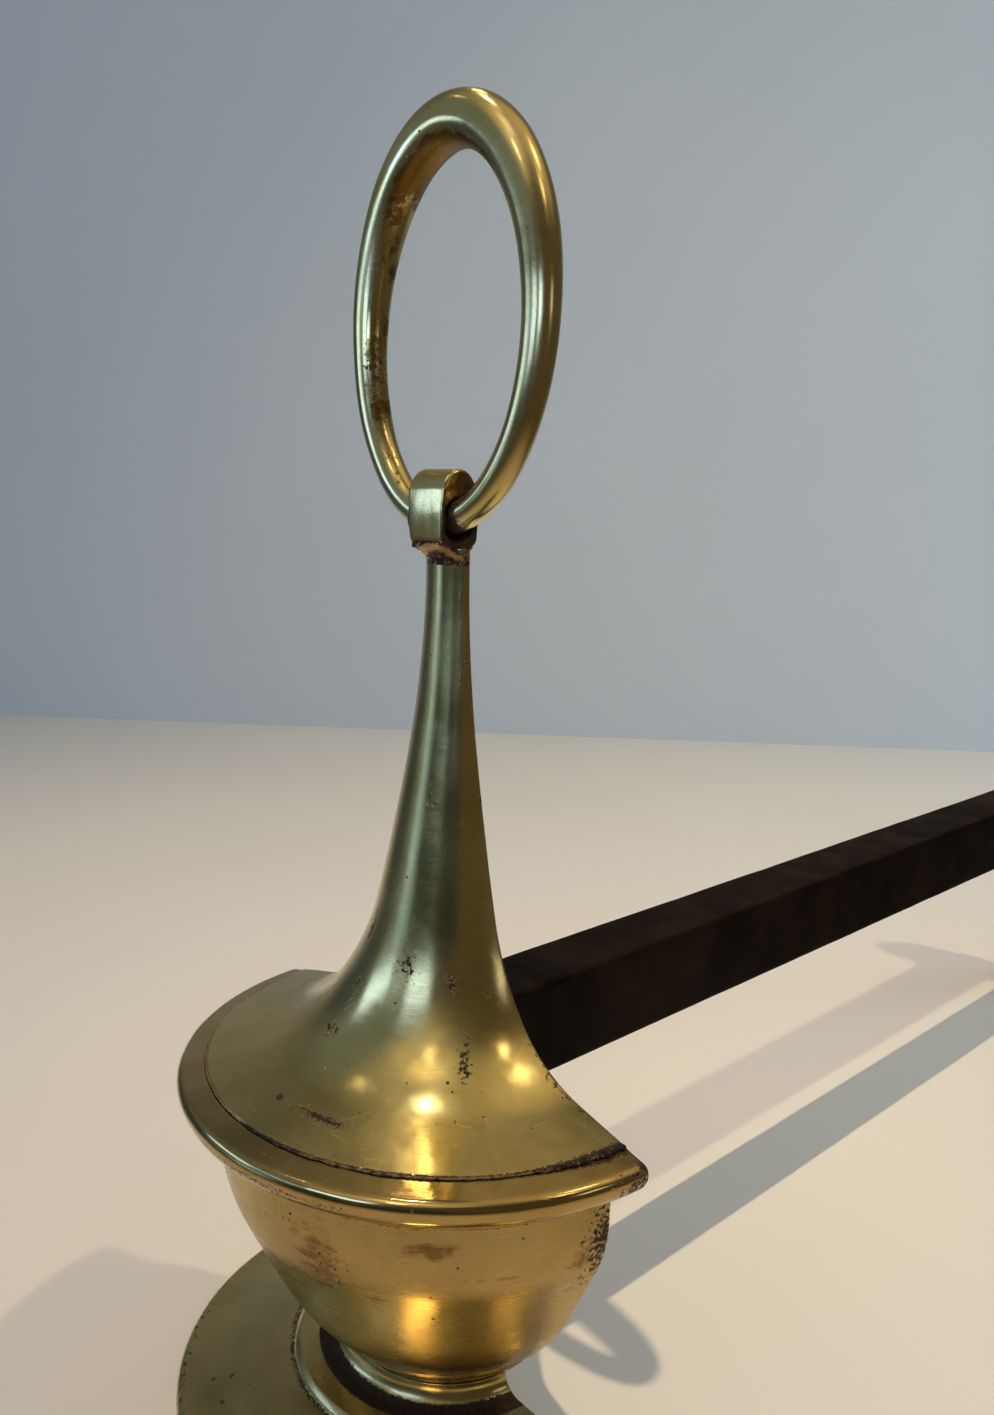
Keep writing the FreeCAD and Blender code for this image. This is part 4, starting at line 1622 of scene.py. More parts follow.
@dataclass
class Eye:
    """The stirrup eye that carries the ring: flat sides, a round top and an hourglass hole.

    About the hole's axis, the outer distance is that of the stirrup's outline in each direction,
    and the hole's grows from its throat to its mouths. The loop across joins the two.
    """

    places: Places
    half_width: float = 7.5
    half_depth: float = 6.71
    shoulder: float = 6.8
    haunch: float = 4.2
    floor: float = 7.51
    corner: float = 2.8
    throat: float = 4.6
    mouth: float = 6.11
    edge: float = 1.1
    taper: float = 0.09
    bow: float = 0.35
    unevenness: float = 0.09
    columns: int = 160
    crossings: int = 45

    def outline(self) -> Array:
        """The outer distance from the hole's axis, for each direction round it.

        Returns:
            The distances in millimetres.
        """
        half, corner = self.half_depth, self.corner
        trace = Trace(0.0, -self.floor).line(half - corner, -self.floor).arc(half, corner - self.floor)
        spring = self.shoulder - self.haunch
        trace = trace.line(half, spring)
        arch = np.linspace(0, QUARTER_TURN, Trace.ARC_STEPS)[1:]
        for part in arch:
            trace.line(half * math.cos(part), spring + (half + self.haunch) * math.sin(part))
        for part in arch:
            trace.line((self.bow - half) * math.sin(part), self.shoulder + half * math.cos(part))
        low, high = corner - self.floor, self.shoulder
        for part in np.linspace(1, -1, 12)[1:-1]:
            trace.line(self.bow * part**2 - half, (low + high) / 2 + (high - low) / 2 * part)
        trace = trace.line(self.bow - half, low).arc(corner - half + self.bow, -self.floor)
        points = softened(np.array(trace.line(0.0, -self.floor).points), 0.3)
        way = np.unwrap(np.arctan2(points[:, 1], points[:, 0]))
        turn = np.linspace(0, FULL_TURN, self.columns, endpoint=False)
        turn = np.where(turn < way[0], turn + FULL_TURN, turn)
        turn = np.where(turn > way[-1], turn - FULL_TURN, turn)
        return np.interp(turn, way, np.hypot(*points.T))

    def build(self) -> Piece:
        """Make the eye.

        Returns:
            The dressed piece.
        """
        loop, is_outer = self._loop()
        is_outer = is_outer.repeat(self.columns)
        skin = turned(loop * MM, Axis.X, self.places.hinge)
        low = (self.places.hinge.z - skin.vertices[:, 2]) / MM / self.floor
        skin.vertices[:, 0] *= 1 - self.taper * step_up(low, -0.1, 1.0)
        rough = Waves(21, 9).at(skin.vertices) * self.unevenness * MM
        away = (skin.vertices - np.array(self.places.hinge)) * np.array([0, 1, 1])
        away /= np.linalg.norm(away, axis=1, keepdims=True)
        skin.vertices = skin.vertices + away * (rough * is_outer)[:, None]
        skin.masks = self._masks(skin, is_outer)
        return dress(skin.piece("eye_stirrup"), Body.STAND, Slot.BRASS, [EYE_BRASS.material()],
                     ["ring_eye"])

    def _loop(self) -> tuple[Array, Array]:
        """The closed loop that is turned into the eye, and which of its rows lie outside.

        It runs over the outside to +X, down that side, back through the hole and up the other
        side. The front of the outside is hollowed by a groove and falls away at its edges.

        Returns:
            The places and distances in millimetres, and one truth value for each row.
        """
        outer = self.outline()
        bend = np.linspace(0, QUARTER_TURN, 8)[1:]
        x_edge = self.half_width - self.edge + self.edge * np.sin(bend)
        x_flat = np.linspace(-1, 1, self.crossings) * (self.half_width - self.edge)
        x_outer = np.concatenate([-x_edge[::-1], x_flat, x_edge])
        drop = self.edge * (1 - np.cos(bend))
        drops = np.concatenate([drop[::-1], 0 * x_flat, drop])
        x_hole = np.linspace(self.half_width - 0.3, -(self.half_width - 0.3), 31)
        waist = self.throat + (self.mouth - self.throat) * (x_hole / self.half_width) ** 2
        share = np.linspace(0, 1, 8)[1:-1, None]
        cheek = (outer - self.edge) * (1 - share) + (self.mouth + 0.3) * share
        sides = np.full(len(share), self.half_width)
        loop = np.concatenate([
            hoops(x_outer, outer - drops[:, None], self.columns),
            hoops(sides, cheek, self.columns),
            hoops(x_hole, waist[:, None], self.columns),
            hoops(-sides, cheek[::-1], self.columns),
        ])
        turn = np.linspace(0, FULL_TURN, self.columns, endpoint=False)
        front = step_up(-np.cos(turn), 0.55, 0.9) * step_up(np.abs(np.sin(turn)), 0.95, 0.5)
        groove = np.exp(-((loop[..., 0] - 2.6) / 1.7) ** 2)
        rounding = (loop[..., 0] / self.half_width) ** 4
        is_outer = np.arange(len(loop)) < len(x_outer)
        loop[..., 1] -= is_outer[:, None] * front * (0.07 * groove + 0.22 * rounding)
        return loop, is_outer

    def _masks(self, skin: Skin, is_outer: Array) -> dict[str, Array]:
        """Grime in the hole, on the sides below the hole's middle and under the floor.

        Args:
            skin: the eye's skin.
            is_outer: whether each vertex is on the outside.

        Returns:
            The masks by name.
        """
        place = (skin.vertices - np.array(self.places.hinge)) / MM
        distance = np.hypot(place[:, 1], place[:, 2])
        limit = self.half_width * (1 - self.taper * step_up(-place[:, 2] / self.floor, -0.1, 1.0))
        on_side = step_up(np.abs(place[:, 0]), limit - 0.9, limit - 0.15)
        low = np.maximum(step_up(place[:, 2], 8.0, 2.0), step_up(place[:, 1], -2.5, 1.5))
        sides = on_side * low * step_up(distance, 14.0, 9.0) * 0.75
        hole = np.where(is_outer, 0.0, step_up(np.abs(place[:, 0]), 7.4, 6.0) * 0.9)
        floor = step_up(place[:, 2], 1.6 - self.floor, 0.3 - self.floor) * 0.7
        crescent = step_up(distance, 9.0, 11.5) * step_up(place[:, 1], -1.0, -3.5)
        brown = on_side * (1 - crescent) * (place[:, 0] > 0)
        return {"grime_and_shade": np.maximum(np.maximum(sides, hole), floor), "tarnish": brown}


@dataclass
class Braze:
    """The brazed joint between the eye and the stem: a hollow fillet under a rough ledge.

    Each level is a closed outline round the eye's middle line. Its distance goes from the
    eye's footprint to the stem's outline as a power of the depth: steep in front, straight at
    the back. A ledge that arches over the front, and a seeded noise, stand out from it.
    """

    places: Places
    eye: Eye
    stem_radius: float = 10.15
    top: float = 1.6
    bottom: float = -4.6
    columns: int = 220
    levels: int = 90

    def build(self) -> Piece:
        """Make the joint.

        Returns:
            The dressed piece.
        """
        turn = np.linspace(0, FULL_TURN, self.columns, endpoint=False)[None]
        level = np.linspace(self.top, self.bottom, self.levels)[:, None]
        across, along = np.cos(turn), np.sin(turn)
        block = self._block(across, along)
        stem = self._stem(across, along)
        is_back = step_up(along, 0.1, 0.8)
        depth = np.clip(-level / -self.bottom, 0, 1)
        ledge = self._ledge(block * across, block * along, along, level)
        reach = stem + (block - stem) * (1 - depth) ** (2.6 - 1.5 * is_back) + ledge
        vertices = np.stack([reach * across, reach * along, level + 0 * reach], axis=-1)
        lumps = 0.17 * Waves(31, 3.6).at(vertices * MM) + 0.09 * Waves(32, 1.3).at(vertices * MM)
        reach = reach + lumps * step_up(level, self.top, self.top - 0.8)
        vertices = np.stack([reach * across, reach * along, level + 0 * reach], axis=-1)
        vertices += np.array([0, self.places.hinge.y, self.places.bell_top]) / MM
        wear = np.clip(ledge / 0.6, 0, 1) * 0.9 + is_back * 0.15
        skin = Skin(vertices.reshape(-1, 3) * MM, grid_quads(self.levels, self.columns, False, True),
                    end_faces(self.levels, self.columns), masks={"wear": (wear + 0 * reach).ravel()})
        return dress(skin.piece("brazed_fillet"), Body.STAND, Slot.BRASS, [BRAZE.material()])

    def _ledge(self, side: Array, back: Array, along: Array,
               level: Array) -> Array:
        """How far the ledge stands out: it arches over the front and fades round the sides.

        Args:
            side: the footprint's place to the side, in millimetres.
            back: the footprint's place to the back.
            along: the share of each direction that points back.
            level: the height of each level.

        Returns:
            The distance in millimetres.
        """
        way = side + np.sign(side) * (back + self.eye.half_depth)
        arch = 0.35 - np.where(way < 3, 0.036, 0.026) * (way - 3) ** 2
        ledge = 0.8 * np.exp(-((level - arch) / 0.75) ** 2) * step_up(along, 0.6, 0.0)
        return ledge * (1 - step_up(-side, 4.2, 6.4)) * (1 - 0.8 * step_up(way, 11.0, 15.5))

    def _block(self, across: Array, along: Array) -> Array:
        """The distance to the eye's footprint, its corners cut by a high even power.

        Args:
            across: the share of each direction along X.
            along: its share along Y.

        Returns:
            The distances in millimetres.
        """
        wide, deep = self.eye.half_width * (1 - self.eye.taper) - 0.2, self.eye.half_depth - 0.35
        power = 7.0
        return (np.abs(across / wide) ** power + np.abs(along / deep) ** power) ** (-1 / power)

    def _stem(self, across: Array, along: Array) -> Array:
        """The distance to the stem's half-round outline, with its corners rounded off.

        Args:
            across: the share of each direction along X.
            along: its share along Y.

        Returns:
            The distances in millimetres.
        """
        offset = (self.places.axis_y - self.places.hinge.y) / MM
        half = along * offset
        arc = half + np.sqrt(half**2 - offset**2 + self.stem_radius**2)
        flat = offset - self.places.back_plane / MM + 0.15
        line = flat / np.maximum(along, 0.02)
        power = 10.0
        return (arc**-power + line**-power) ** (-1 / power)


@dataclass
class SeamGrime:
    """Packed dirt in the seam between the bell's edge and the rim.

    A low ridge along the seam's arc: its width and height follow the angle and a seeded noise.
    """

    places: Places
    radius: float = 71.95
    lip: float = 3.0
    start: float = -85.6
    end: float = 85.6
    along: int = 1500
    around: int = 10

    def build(self) -> Piece:
        """Make the ridge.

        Returns:
            The dressed piece.
        """
        angle = np.radians(np.linspace(self.start, self.end, self.along))
        degrees = np.degrees(angle)
        arc = np.column_stack([np.sin(angle), -np.cos(angle)]) * self.radius
        points = np.column_stack([arc, np.full(self.along, self.lip)]) * MM
        is_black = step_up(degrees, -1.5, 1.5)
        swell = 0.19 + 0.09 * is_black
        swell += 0.12 * step_up(degrees, 0, 25) + 0.55 * step_up(degrees, 60, 83)
        swell *= 0.8 + 0.35 * Waves(41, 6).at(points) + 0.2 * Waves(42, 1.6).at(points)
        swell = np.clip(swell, 0.12, None)
        turn = np.linspace(0, FULL_TURN, self.around, endpoint=False)
        wide = swell[:, None] * 1.5 * np.cos(turn)
        tall = swell[:, None] * 0.9 * np.sin(turn)
        reach = self.radius + wide
        vertices = np.stack([reach * np.sin(angle)[:, None], -reach * np.cos(angle)[:, None],
                             self.lip + 0.25 + tall], axis=-1) * MM
        vertices += np.array([0, self.places.axis_y, self.places.bell_base])
        thinner = 0.45 * step_up(degrees, 14, 24) * step_up(degrees, 72, 60)
        worn = np.repeat(1 - is_black * (1 - thinner), self.around)
        skin = Skin(vertices.reshape(-1, 3), grid_quads(self.along, self.around, False, True),
                    end_faces(self.along, self.around), masks={"wear": worn})
        return dress(skin.piece("seam_grime"), Body.STAND, Slot.BRASS, [GRIME.material()])


@dataclass
class Ironwork:
    """The billet bar with its peened end, the rear leg and the back strap."""

    places: Places
    bar_size: tuple[float, float] = (25.0, 30.0)
    bar_corner: float = 1.6
    leg_size: tuple[float, float] = (25.0, 26.0)
    leg_shoulder: float = 165.0
    leg_taper: float = 54.5
    sole_chamfer: float = 2.0
    peen_radius: float = 10.5
    peen_height: float = 3.5

    def build(self) -> list[Piece]:
        """Make the ironwork.

        Returns:
            The four dressed pieces.
        """
        bar = BAR_IRON.material()
        strap = STRAP_IRON.material()
        return [self._bar(bar), self._peen(bar), self._leg(bar), self._strap(strap)]

    def _bar(self, iron: Material) -> Piece:
        """The bar between the strap and the leg, its faces a little uneven from the hammer.

        Args:
            iron: its material.

        Returns:
            The dressed piece.
        """
        start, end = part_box("back_strap")[1].y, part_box("rear_leg")[0].y
        section = rounded_rectangle(*self.bar_size, self.bar_corner, 16) * MM
        stops = np.linspace(start, end, 420)
        rough = Hammering(51, 0.07, 40, 0.10, 0.03).at
        skin = swept(section, stops, np.ones((len(stops), 2)), 0.8 * MM, 1,
                     (0, 0, self.places.bar_middle), rough)
        return dress(skin.piece("bar_forging"), Body.STAND, Slot.IRON, [iron], ["billet_bar"])

    def _peen(self, iron: Material) -> Piece:
        """The hammered head of the bar's rear tenon: a low dome with facets.

        Args:
            iron: its material.

        Returns:
            The dressed piece.
        """
        share = np.linspace(0.02, 1, 26)
        dome = np.column_stack([self.peen_height * (1 - share**2.2 * 0.66), self.peen_radius * share])
        rim = np.array([[self.peen_height * 0.12, self.peen_radius * 0.99],
                        [0.0, self.peen_radius * 0.96]])
        line = np.vstack([dome, rim]) * MM
        facets = Hammering(55, 0.35, 7, 0.3).at
        middle = (0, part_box("rear_leg")[1].y, self.places.bar_middle)
        skin = lathe(line, Axis.Y, middle, 72, facets)
        return dress(skin.piece("peened_head"), Body.STAND, Slot.IRON, [iron])

    def _leg(self, iron: Material) -> Piece:
        """The leg: square, chamfered at the sole, and drawn in on two sides to a blunt tip.

        Args:
            iron: its material.

        Returns:
            The dressed piece.
        """
        low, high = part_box("rear_leg")
        section = rounded_rectangle(*self.leg_size, 1.4, 12) * MM
        stops = np.unique(np.concatenate([np.linspace(low.z, high.z, 240),
                                          np.array([0, 0.5, 1, 1.5, 2.0]) * MM]))
        rise = np.clip(stops / MM - self.leg_shoulder, 0, None)
        half = self.leg_size[1] / 2
        depth = half - self.leg_taper + np.sqrt(self.leg_taper**2 - rise**2)
        depth = np.minimum(depth, half - self.sole_chamfer + stops / MM)
        scale = np.column_stack([np.ones(len(stops)), depth / half])
        rough = Hammering(57, 0.10, 34, 0.11, 0.03).at
        skin = swept(section, stops, scale, 0.8 * MM, 2, (0, self.places.leg_middle, 0), rough)
        return dress(skin.piece("leg_forging"), Body.STAND, Slot.IRON, [iron], ["rear_leg"])

    def _strap(self, iron: Material) -> Piece:
        """The strap behind the castings.

        Args:
            iron: its material.

        Returns:
            The dressed piece.
        """
        low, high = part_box("back_strap")
        section = rounded_rectangle((high.x - low.x) / MM, (high.y - low.y) / MM, 0.9, 14) * MM
        stops = np.linspace(low.z, high.z, 220)
        rough = Hammering(61, 0.10, 22, 0.08, 0.04, 6).at
        skin = swept(section, stops, np.ones((len(stops), 2)), 0.9 * MM, 2,
                     (0, (low.y + high.y) / 2, 0), rough)
        return dress(skin.piece("strap_forging"), Body.STAND, Slot.IRON, [iron], ["back_strap"])


@dataclass(frozen=True)
class Seat:
    """Where a fastener sits: from where to where along Y, its height and its CAD nodes."""

    start: float
    end: float
    height: float
    nodes: tuple[str, ...] = ()

    @classmethod
    def of(cls, node: str, height: float, stands: bool = True) -> "Seat":
        """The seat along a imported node's box, for a piece that stands for the node or not."""
        low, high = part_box(node)
        return cls(low.y, high.y, height, (node,) if stands else ())

    @property
    def length(self) -> float:
        """How long it is, in millimetres."""
        return (self.end - self.start) / MM

    def dress(self, skin: Skin, name: str, steel: Material) -> Piece:
        """Make a fastener from its skin."""
        return dress(skin.piece(name), Body.STAND, Slot.STEEL, [steel], self.nodes)


@dataclass
class Fasteners:
    """Studs, washers and square nuts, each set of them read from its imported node's boxes."""

    places: Places
    steel: Material
    stud_radius: float = 2.5
    stud_pitch: float = 0.8
    nut_width: float = 8.0
    washer_radius: float = 5.0
    foot_height: float = 8.8
    bowl_height: float = 12.3
    bell_height: float = 38.0
    bar_nut_width: float = 19.0
    bar_tenon_radius: float = 7.0
    bar_tenon_pitch: float = 2.0
    bar_washer_radius: float = 11.0

    def build(self) -> list[Piece]:
        """Make the fasteners.

        Returns:
            The dressed pieces.
        """
        places = self.places
        heights = {
            "foot": self.foot_height * MM,
            "collar": (places.collar_base + places.bowl_base) / 2,
            "bowl": places.bowl_base + self.bowl_height * MM,
            "bell": places.bell_base + self.bell_height * MM,
        }
        made = []
        for name, height in heights.items():
            stands = name == "foot"
            made += [
                self._washer("washer_" + name, self.washer_radius, self.stud_radius + 0.25,
                             Seat.of("stud_washers", height, stands)),
                self._nut("nut_" + name, self.nut_width, self.stud_radius,
                          Seat.of("stud_nuts", height, stands)),
                self._thread("stud_" + name, self.stud_radius, self.stud_pitch,
                             Seat.of("casting_studs", height, stands)),
            ]
        tenon = Seat(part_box("billet_bar")[0].y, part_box("back_strap")[1].y, places.bar_middle)
        made += [
            self._washer("washer_bar", self.bar_washer_radius, self.bar_tenon_radius + 0.2,
                         Seat.of("bar_washer", places.bar_middle)),
            self._nut("nut_bar", self.bar_nut_width, self.bar_tenon_radius,
                      Seat.of("bar_nut", places.bar_middle), faces_front=True),
            self._thread("tenon_front", self.bar_tenon_radius, self.bar_tenon_pitch, tenon),
        ]
        return made

    def _washer(self, name: str, radius: float, bore: float, seat: Seat) -> Piece:
        """A stamped washer: one edge rounded by the punch, the other sharp.

        Args:
            name: the piece's name.
            radius: its radius, in millimetres.
            bore: its hole's radius.
            seat: where it sits.

        Returns:
            The dressed piece.
        """
        thick = seat.length
        trace = Trace(0.0, bore).line(thick, bore + 0.05).line(thick, radius - 0.35)
        trace = trace.line(thick - 0.3, radius).line(0.0, radius).line(0.0, bore)
        loop = trace.section(0.06, 1.0, 0.5)[:-1]
        skin = turned(np.repeat(loop[:, None], 96, axis=1), Axis.Y, (0, seat.start, seat.height))
        return seat.dress(skin, name, self.steel)

    def _nut(self, name: str, width: float, tenon: float, seat: Seat,
             faces_front: bool = False) -> Piece:
        """A square nut: a square cut back by a cone at its outer face, with a bevelled bore.

        The outer distance in each direction is the smaller of the square's and the cone's.

        Args:
            name: the piece's name.
            width: the width across the flats, in millimetres.
            tenon: the radius of what it is turned onto.
            seat: where it sits.
            faces_front: whether its outer face is the front one.

        Returns:
            The dressed piece.
        """
        columns = 144
        turn = np.linspace(0, FULL_TURN, columns, endpoint=False)
        square = width / 2 / np.maximum(np.abs(np.cos(turn)), np.abs(np.sin(turn)))
        square = np.minimum(square, width / 2 * 1.34)
        thick = seat.length
        bore, lip = tenon + 0.06, tenon + 0.46
        rise = np.concatenate([[0.0, 0.1], np.linspace(0.3, 0.62, 4), np.linspace(0.66, 1.0, 12)])
        rise = rise * thick
        cone = width * 0.73 - np.clip(rise - thick * 0.66, 0, None) * 0.62
        outer = np.minimum(square[None], cone[:, None])
        share = np.array([[0.35], [0.75]])
        loop = np.concatenate([
            hoops(rise, outer, columns),
            hoops([thick, thick], outer[-1] * (1 - share) + lip * share, columns),
            hoops([thick, thick - 0.4, 0.4, 0.0], np.array([[lip], [bore], [bore], [lip]]), columns),
            hoops([0.0, 0.0], (outer[0] * (1 - share) + lip * share)[::-1], columns),
        ])
        if faces_front:
            loop[..., 0] = thick - loop[..., 0]
        skin = turned(loop * MM, Axis.Y, (0, seat.start, seat.height))
        made = seat.dress(skin, name, self.steel)
        made.data.polygons.foreach_set("use_smooth", np.zeros(len(made.data.polygons), dtype=bool))
        return made

    def _thread(self, name: str, radius: float, pitch: float, seat: Seat) -> Piece:
        """A threaded rod with bevelled ends: its radius is a wave of the turn plus the place.

        Args:
            name: the piece's name.
            radius: its radius over the thread, in millimetres.
            pitch: the thread's pitch.
            seat: where it sits.

        Returns:
            The dressed piece.
        """
        columns = 40
        length = seat.length
        places = np.linspace(0, length, int(length / pitch * 8))
        turn = np.linspace(0, 1, columns, endpoint=False)
        phase = (places[:, None] / pitch - turn[None]) % 1.0
        depth = 0.55 * pitch * (1 - np.abs(2 * phase - 1))
        bevel = np.clip(np.minimum(places, length - places), 0, pitch)[:, None] - pitch
        distance = np.maximum(radius - depth + bevel * 0.7, radius * 0.3)
        line = hoops(places, distance, columns) * MM
        skin = lathe(line, Axis.Y, (0, seat.start, seat.height), columns)
        return seat.dress(skin, name, self.steel)


@dataclass
class BowlLug:
    """The block on the bowl's floor that the bowl's stud is tapped into."""

    places: Places
    width: float = 16.0
    depth: float = 18.0
    low: float = 2.0
    high: float = 20.3

    def build(self, raw: Material) -> Piece:
        """Make the block.

        Args:
            raw: its material.

        Returns:
            The dressed piece.
        """
        section = rounded_rectangle(self.width, self.depth, 1.6, 8) * MM
        stops = np.linspace(self.low, self.high, 24) * MM
        back = self.places.axis_y - self.places.back_plane
        middle = (0, back - self.depth / 2 * MM, self.places.bowl_base)
        rough = Hammering(71, 0.2, 8, 0.25).at
        skin = swept(section, stops, np.ones((len(stops), 2)), 1.2 * MM, 2, middle, rough)
        return dress(skin.piece("bowl_lug"), Body.STAND, Slot.BRASS, [raw])


# ---- Stage


class Seen(Enum):
    """What a lamp's light is for: drawing on matt surfaces or being mirrored."""

    MATT = (True, False)
    MIRRORED = (False, True)


@dataclass(frozen=True)
class Lamp:
    """A flat soft lamp: where it is, what it faces, its size, its light and its colour."""

    name: str
    place: tuple[float, float, float]
    aim: tuple[float, float, float]
    size: tuple[float, float]
    watts: float
    colour: Colour
    seen: Seen = Seen.MATT
    spread: float = 180.0

    def build(self) -> None:
        """Make the lamp, unseen by the camera."""
        light = bpy.data.lights.new(self.name, "AREA")
        light.shape = "RECTANGLE"
        light.size, light.size_y = self.size
        light.energy = self.watts
        light.color = self.colour
        light.spread = math.radians(self.spread)
        made = bpy.data.objects.new(self.name, light)
        made.location = self.place
        facing = Vector(self.aim) - Vector(self.place)
        made.rotation_euler = facing.to_track_quat("-Z", "Y").to_euler()
        made.visible_camera = False
        made.visible_diffuse, made.visible_glossy = self.seen.value
        bpy.context.scene.collection.objects.link(made)


@dataclass(frozen=True)
class Glow:
    """A soft round patch of the room: its direction and reach in degrees, and its colour.

    The azimuth is measured from the front towards +X, and the elevation from the horizon.
    """

    azimuth: float
    elevation: float
    inner: float
    outer: float
    colour: Colour

    def way(self) -> tuple[float, float, float]:
        """The unit vector towards the patch's middle.

        Returns:
            Its parts along X, Y and Z.
        """
        azimuth, elevation = math.radians(self.azimuth), math.radians(self.elevation)
        level = math.cos(elevation)
        return level * math.sin(azimuth), -level * math.cos(azimuth), math.sin(elevation)


@dataclass
class Stage:
    """The floor, the wall, the lamps, the room round them and the camera."""

    lamps: tuple[Lamp, ...] = (
        Lamp("shade_front", (-0.034, -0.621, 3.000), (0, 0.0, 0.0), (0.03, 0.03), 2.75,
             (1.0, 0.77, 0.50), spread=46),
        Lamp("shade_back", (0.424, 0.363, 1.282), (0, -0.05, 0.0), (0.04, 0.04), 4.1,
             (1.0, 0.84, 0.50)),
        Lamp("sky_back", (0.7, 1.35, 0.55), (-0.5, 0.7, 0.1), (0.7, 0.7), 4.2, (0.72, 0.87, 1.0)),
        Lamp("glint_front", (-0.263, -0.132, 1.377), (0, -0.15, 0.1), (0.04, 0.04), 0.85,
             (1.0, 0.86, 0.60), Seen.MIRRORED),
        Lamp("glint_back", (0.424, 0.2515, 1.282), (0, -0.15, 0.1), (0.15, 0.15), 0.42,
             (1.0, 0.80, 0.42), Seen.MIRRORED),
        Lamp("glint_side", (0.77, 0.01, 1.18), (0, -0.15, 0.1), (0.15, 0.15), 0.30,
             (1.0, 0.78, 0.42), Seen.MIRRORED),
        Lamp("glint_left", (-0.727, -0.481, 1.417), (0, -0.2, 0.1), (0.05, 0.05), 0.07,
             (1.0, 0.80, 0.45), Seen.MIRRORED),
        Lamp("glint_low", (0.255, -0.857, 1.296), (0, -0.2, 0.1), (0.08, 0.08), 0.26,
             (1.0, 0.80, 0.48), Seen.MIRRORED),
        Lamp("glint_streak", (-0.342, 0.047, 0.987), (0.045, -0.245, 0.112), (0.08, 0.08), 0.21,
             (1.0, 0.72, 0.30), Seen.MIRRORED),
        Lamp("dish_front", (0.0405, -0.2515, 0.0112), (0.0374, -0.2372, 0.060), (0.013, 0.008),
             0.0024, (1.0, 0.58, 0.15), Seen.MIRRORED),
        Lamp("dish_side", (0.0640, -0.2160, 0.0112), (0.0560, -0.2120, 0.060), (0.012, 0.008),
             0.00024, (1.0, 0.62, 0.16), Seen.MIRRORED),
        Lamp("window_left", (-0.463, -0.752, 0.37), (0, -0.2, 0.30), (0.32, 0.13), 0.335,
             (0.43, 0.63, 1.0), Seen.MIRRORED),
        Lamp("window_between", (-0.160, -0.757, 0.36), (0, -0.2, 0.30), (0.18, 0.11), 0.038,
             (0.46, 0.66, 1.0), Seen.MIRRORED),
        Lamp("window_front", (0.063, -0.651, 0.365), (0, -0.2, 0.30), (0.20, 0.12), 0.235,
             (0.43, 0.63, 1.0), Seen.MIRRORED),
        Lamp("window_right", (0.321, -0.583, 0.39), (0.02, -0.2, 0.32), (0.42, 0.11), 0.017,
             (0.46, 0.64, 1.0), Seen.MIRRORED, 24),
        Lamp("panel_right", (0.748, -0.041, 0.434), (0, -0.2, 0.25), (0.13, 0.12), 0.065,
             (1.0, 0.96, 0.90), Seen.MIRRORED),
    )
    room: Colour = (0.080, 0.070, 0.050)
    glows: tuple[Glow, ...] = (
        Glow(-35, 32, 10, 60, (0.16, 0.19, 0.18)),
        Glow(-133, 6, 22, 52, (0.20, 0.20, 0.18)),
        Glow(-72, -2, 8, 26, (0.050, 0.065, 0.080)),
        Glow(90, 10, 20, 70, (0.080, 0.058, 0.030)),
        Glow(34, 2, 8, 24, (0.028, 0.034, 0.030)),
        Glow(-4, 2, 10, 24, (0.034, 0.045, 0.040)),
        Glow(0, 90, 12, 46, (0.34, 0.28, 0.17)),
        Glow(150, 62, 8, 34, (0.58, 0.43, 0.22)),
        Glow(12, 64, 6, 28, (0.60, 0.50, 0.30)),
        Glow(10, 72, 2, 11, (1.5, 1.15, 0.60)),
        Glow(-30, 2, 5, 15, (0.20, 0.32, 0.46)),
        Glow(-31, -5, 3, 9, (0.45, 0.68, 0.95)),
    )
    air: Colour = (0.21, 0.25, 0.30)
    backdrop: Colour = (0.62, 0.65, 0.67)
    floor_tones: tuple[Colour, Colour] = ((0.815, 0.785, 0.745), (0.795, 0.765, 0.725))
    wall_tones: tuple[Colour, Colour] = ((0.72, 0.80, 0.89), (0.69, 0.765, 0.85))
    floor_reach: float = 6.0
    wall_left: tuple[float, float] = (-1.1954, 0.0889)
    wall_right: tuple[float, float] = (-0.3108, 0.9203)
    wall_height: float = 2.6
    eye_place: tuple[float, float, float] = (0.23695, -0.40482, 0.26551)
    eye_azimuth: float = 46.769
    eye_pitch: float = 9.857
    eye_roll: float = 1.4435
    lens: float = 28.607
    sensor: float = 36.0

    FLOOR_MOTTLE = Grain(2.5, 2)
    WALL_MOTTLE = Grain(1.3, 2)

    def build(self) -> None:
        """Make the stage."""
        self._floor()
        self._wall()
        for lamp in self.lamps:
            lamp.build()
        self._room()
        self._camera()

    def _plaster(self, name: str, mottle: Grain, tones: tuple[Colour, Colour],
                 roughness: float) -> tuple[Graph, Socket]:
        """Start a pale, matt, slightly mottled material, and give its graph and its colour.

        Args:
            name: the material's name.
            mottle: the grain of its mottling.
            tones: its two colours.
            roughness: its roughness.

        Returns:
            The graph and the mottled colour.
        """
        graph = Graph(name)
        graph.shade("Roughness", roughness)
        graph.shade("Specular IOR Level", 0.1)
        share = graph.between(graph.noise(graph.place(), mottle), 0.35, 0.65)
        return graph, graph.blend(share, *tones)

